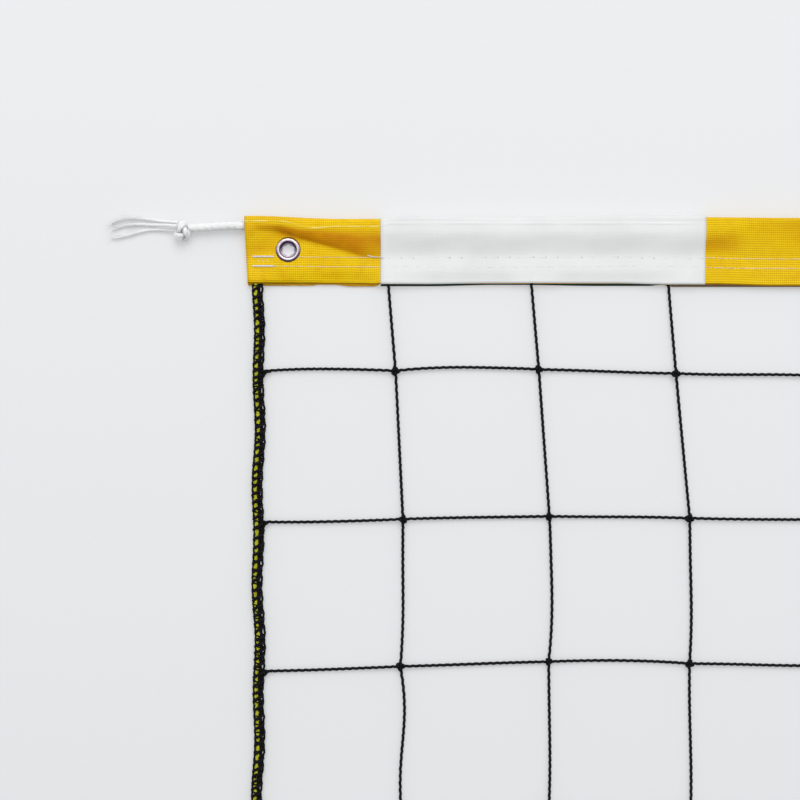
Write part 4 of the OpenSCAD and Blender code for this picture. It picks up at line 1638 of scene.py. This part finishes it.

# Painted shade in the grooves of the weave, and a painted highlight along the crest over the cord
groove_shade = span(tree, weave, 0.15, 0.75, 0.75, 0.0)
base = mix_colour(tree, groove_shade, base, colour(200, 138, 0))
painted_highlight = span(tree, maths(tree, "ABSOLUTE", from_crest), 0.0001, 0.0006, 0.8, 0.0)
painted_highlight = maths(tree, "MULTIPLY", painted_highlight, span(tree, blotch, 0.38, 0.56, 0.15, 1.0))
base = mix_colour(tree, painted_highlight, base, colour(250, 236, 140))

# The inner face, painted as lit near the band's ends and as in the front layer's shade further in
shaded = span(tree, outward, BAND_HALF - 0.284, BAND_HALF - 0.292)
below = mix_colour(tree, shaded, colour(246, 188, 44), colour(142, 124, 94))
paint(tree, bsdf, mix_colour(tree, inner, base, below), span(tree, patch, 0.3, 0.7, 0.28, 0.4))
bump(tree, bsdf, maths(tree, "ADD", weave, maths(tree, "MULTIPLY", patch, 1.2)), 0.00026, 1.0)
print("coated tape: weave of", WEFT, "by", WARP, "mm")

# %% [markdown]
# ### White sleeve
# The sleeve is a smooth coated cloth. Its weave barely shows. The needle has left a row of small pits along
# each seam. Its inner face is dark green, which shows as a thin dark strip below its front edge.

# %% White sleeve
PIT_STEP, PIT_ROW = 0.0082, 0.0176

tree, bsdf = finish_tree("white_sleeve", Roughness=0.45, Specular_IOR_Level=0.2)
uv = uv_map(tree, "lay")
fine = weave_height(tree, uv, 0.9, 0.9)
cloud = noise(tree, uv, 30.0, 4.0)
base = mix_colour(tree, span(tree, cloud, 0.3, 0.7), colour(231, 233, 232), colour(238, 240, 239))
along, across, _ = split(tree, uv)
# Painted shade over the top of the fold, which faces the light
base = mix_colour(tree, span(tree, across, -0.0445, -0.0425, 0.3, 0.0), base, colour(190, 192, 192))
near_step = span(tree, ridges(tree, along, PIT_STEP), 0.16, 0.3, 1.0, 0.0)
off_row = maths(tree, "ABSOLUTE", maths(tree, "ADD", across, PIT_ROW))
pit = maths(tree, "MULTIPLY", near_step, span(tree, off_row, 0.0003, 0.0006, 1.0, 0.0))
pit = maths(tree, "MULTIPLY", pit, span(tree, noise(tree, uv, 60.0), 0.42, 0.58, 0.0, 0.45))
base = mix_colour(tree, pit, base, colour(120, 124, 124))
# The inner face is dark green, which shows as a thin dark strip below the front's edge
inner = span(tree, split(tree, uv_map(tree, "fold"))[1], 5.0, 6.0)
paint(tree, bsdf, mix_colour(tree, inner, base, colour(38, 66, 52)))
bump(tree, bsdf, maths(tree, "ADD", maths(tree, "MULTIPLY", fine, 0.4), cloud), 0.00016, 0.8)
print("white sleeve: a pit every", PIT_STEP / MM, "mm")

# %% [markdown]
# ### Thread and cord
# Thread is matt and off-white with a fine twist. The white cord is made of soft yarns that let a little
# light through. Its fibres run along the lay, which is what the UV map of `lay_tube` measures.

# %% Thread
tree, bsdf = finish_tree("thread", Roughness=0.6)
ply = noise(tree, drawn_out(tree, object_place(tree), (900, 2600, 2600)), 1.0, 2.0)
paint(tree, bsdf, mix_colour(tree, span(tree, ply, 0.35, 0.7), colour(214, 213, 210), colour(238, 239, 238)))
bump(tree, bsdf, ply, 0.0001, 0.8)
print("thread:", len(tree.nodes), "nodes")

# %% White cord
tree, bsdf = finish_tree("white_cord", Roughness=0.75, Subsurface_Weight=1.0, Subsurface_Scale=0.003)
bsdf.inputs["Subsurface Radius"].default_value = (1.0, 1.0, 1.0)
fibres = noise(tree, drawn_out(tree, uv_map(tree, "lay"), (160, 2400, 1)), 1.0, 4.0)
clump = noise(tree, object_place(tree), 700.0, 3.0)
base = mix_colour(tree, span(tree, fibres, 0.3, 0.7), colour(230, 231, 230), colour(240, 241, 241))
paint(tree, bsdf, base)
bump(tree, bsdf, maths(tree, "ADD", fibres, maths(tree, "MULTIPLY", clump, 0.6)), 0.0003, 0.8)
print("white cord:", len(tree.nodes), "nodes")

# %% [markdown]
# ### Twine and yellow rope
# Both are laid yarns, so both take the same pattern: ridges that wind round the piece. `turns` plus
# `around` is constant along a yarn, and a wave of that sum is the ridge.

# %% Laid yarns
def yarn_ridges(tree, yarns):
    turns = add(tree, "ShaderNodeAttribute", attribute_name="turns").outputs["Fac"]
    around = add(tree, "ShaderNodeAttribute", attribute_name="around").outputs["Fac"]
    angle = maths(tree, "MULTIPLY", maths(tree, "ADD", turns, around), math.pi * yarns)
    return maths(tree, "ABSOLUTE", maths(tree, "SINE", angle))


tree, bsdf = finish_tree("black_twine", Roughness=0.6, Specular_IOR_Level=0.14)
ridge_of_yarn = yarn_ridges(tree, 2)
fuzz = noise(tree, object_place(tree), 1800.0, 2.0)
base = mix_colour(tree, span(tree, fuzz, 0.35, 0.75), (0.0015, 0.0015, 0.002, 1), (0.008, 0.007, 0.011, 1))
paint(tree, bsdf, base, span(tree, fuzz, 0.3, 0.7, 0.5, 0.7))
bump(tree, bsdf, maths(tree, "ADD", ridge_of_yarn, maths(tree, "MULTIPLY", fuzz, 0.5)), 0.0004, 0.8)
print("black twine:", len(tree.nodes), "nodes")

# %% Yellow rope
tree, bsdf = finish_tree("yellow_rope", Roughness=0.36, Specular_IOR_Level=0.5)
ridge_of_yarn = yarn_ridges(tree, 9)
stain = noise(tree, object_place(tree), 160.0, 3.0)
# The grooves between the yarns are painted dark olive, as the shade in them; the stains below are the rope's
# own
base = mix_colour(tree, span(tree, ridge_of_yarn, 0.1, 0.8), colour(122, 124, 4), colour(208, 212, 16))
paint(tree, bsdf, mix_colour(tree, span(tree, stain, 0.5, 0.8, 0.0, 0.5), base, colour(150, 132, 10)))
bump(tree, bsdf, ridge_of_yarn, 0.0003, 0.7)
print("yellow rope:", len(tree.nodes), "nodes")

# %% [markdown]
# ### Nickel
# The plating is bright with a faint violet tinge. The upper side of the throat is painted dark violet as
# shade, and the lower side of the rim is painted dark violet as a reflection of the dim room. It is never
# quite even: fine pits break up its gloss, and some patches are duller.

# %% Nickel plate
tree, bsdf = finish_tree("nickel", Metallic=1.0, Roughness=0.18)
spot = object_place(tree)
worn = noise(tree, spot, 420.0, 4.0)
fine = noise(tree, spot, 2600.0, 2.0)
base = mix_colour(tree, span(tree, worn, 0.35, 0.7), colour(236, 220, 238), colour(252, 246, 252))
sideways, up_band, height = split(tree, spot)
beside = maths(tree, "SUBTRACT", maths(tree, "ABSOLUTE", sideways), abs(eyelet_at["left"][0]))
above = maths(tree, "SUBTRACT", up_band, eyelet_at["left"][1])
away = maths(tree, "SQRT", maths(
    tree, "ADD", maths(tree, "MULTIPLY", beside, beside), maths(tree, "MULTIPLY", above, above)
))
# Painted shade on the upper side of the throat, and a painted dark reflection on the lower side of the rim
upper = span(tree, above, -2.6 * MM, 1.4 * MM, 0.04, 1.0)
lower = span(tree, above, 1.0 * MM, -2.5 * MM, 0.0, 0.9)
throat_shade = maths(tree, "MULTIPLY", span(tree, height, 0.0054, 0.0048), span(tree, height, 0.0006, 0.0016))
base = mix_colour(tree, maths(tree, "MULTIPLY", throat_shade, upper), base, colour(70, 44, 78))
rim_reflection = maths(tree, "MULTIPLY", span(tree, away, 7.0 * MM, 7.7 * MM), lower)
base = mix_colour(tree, rim_reflection, base, colour(104, 66, 116))
paint(tree, bsdf, base, span(tree, worn, 0.3, 0.75, 0.12, 0.24))
bump(tree, bsdf, fine, 0.00002, 0.4)
print("finishes:", ", ".join(FINISHES))

# %% [markdown]
# ## Floor and light
# The net lies on a pale floor under soft studio light. A wide sun beyond the headband is the main
# light, so the hem's slope is in half shade and each twine has a soft shadow just below it. The pale
# world fills the rest. It is brighter towards the sun, which gives the metal something to reflect. The
# floor glows a little for the camera alone, so that it looks pale without more light on the net.

# %% Floor
FLOOR, FLOOR_LOW = 60.0, -0.0001
FLOOR_GLOW = 0.34
floor_mesh = bpy.data.meshes.new("floor")
corners = [(x * FLOOR, y * FLOOR, FLOOR_LOW) for x, y in ((-1, -1), (1, -1), (1, 1), (-1, 1))]
floor_mesh.from_pydata(corners, [], [[0, 1, 2, 3]])
floor = new_piece("floor", floor_mesh)
paper = bpy.data.materials.new("paper")
paper.use_nodes = True
tree = paper.node_tree
bsdf = next(n for n in tree.nodes if n.type == "BSDF_PRINCIPLED")
bsdf.inputs["Roughness"].default_value = 0.85
bsdf.inputs["Specular IOR Level"].default_value = 0.2
# The floor is painted paler towards +Y and darker away from it, as the light falls off across it
light_falloff = span(tree, split(tree, object_place(tree))[1], 0.1, 0.65)
base = mix_colour(tree, light_falloff, (0.775, 0.783, 0.797, 1), (0.852, 0.860, 0.872, 1))
tree.links.new(base, bsdf.inputs["Base Color"])
seen = add(tree, "ShaderNodeLightPath").outputs["Is Camera Ray"]
lamp = add(tree, "ShaderNodeEmission", {"Color": base})
shown = add(tree, "ShaderNodeMixShader", {
    0: maths(tree, "MULTIPLY", seen, FLOOR_GLOW), 1: bsdf.outputs[0], 2: lamp.outputs[0],
})
output = next(n for n in tree.nodes if n.type == "OUTPUT_MATERIAL")
tree.links.new(shown.outputs[0], output.inputs["Surface"])
floor_mesh.materials.append(paper)
print("floor:", 2 * FLOOR, "m wide")

# %% Sun and world
SUN_HEIGHT = math.radians(54)
SUN_SHARE = 0.34
SKY_SWING = 0.5
sun_data = bpy.data.lights.new("sun", "SUN")
sun_data.energy = SUN_SHARE * math.pi / math.sin(SUN_HEIGHT)
sun_data.angle = math.radians(45)
sun = bpy.data.objects.new("sun", sun_data)
sun.rotation_euler = (-(math.pi / 2 - SUN_HEIGHT), 0, math.radians(-4))
scene.collection.objects.link(sun)

world = bpy.data.worlds.new("studio")
scene.world = world
world.use_nodes = True
tree = world.node_tree
sky = next(n for n in tree.nodes if n.type == "BACKGROUND")
sky.inputs["Color"].default_value = (0.985, 0.992, 1.0, 1)
aim = add(tree, "ShaderNodeTexCoord").outputs["Generated"]
facing = add(tree, "ShaderNodeVectorMath", {
    0: aim, 1: (0.0, math.cos(SUN_HEIGHT), math.sin(SUN_HEIGHT)),
}, operation="DOT_PRODUCT").outputs["Value"]
sky_mean = 1.0 - SUN_SHARE - SKY_SWING * 2 / 3 * math.sin(SUN_HEIGHT)
glow = maths(tree, "MULTIPLY_ADD", facing, SKY_SWING, sky_mean)
seen = add(tree, "ShaderNodeLightPath").outputs["Is Camera Ray"]
shown = add(tree, "ShaderNodeMix", {0: seen, 2: maths(tree, "MAXIMUM", glow, 0.05), 3: 0.84})
tree.links.new(shown.outputs[0], sky.inputs["Strength"])
scene.view_settings.view_transform = "Standard"
print("sun", round(sun_data.energy, 2), "sky mean", round(sky_mean, 2))

# %% [markdown]
# ## Finish

# %% Finish
print("the net is dressed")
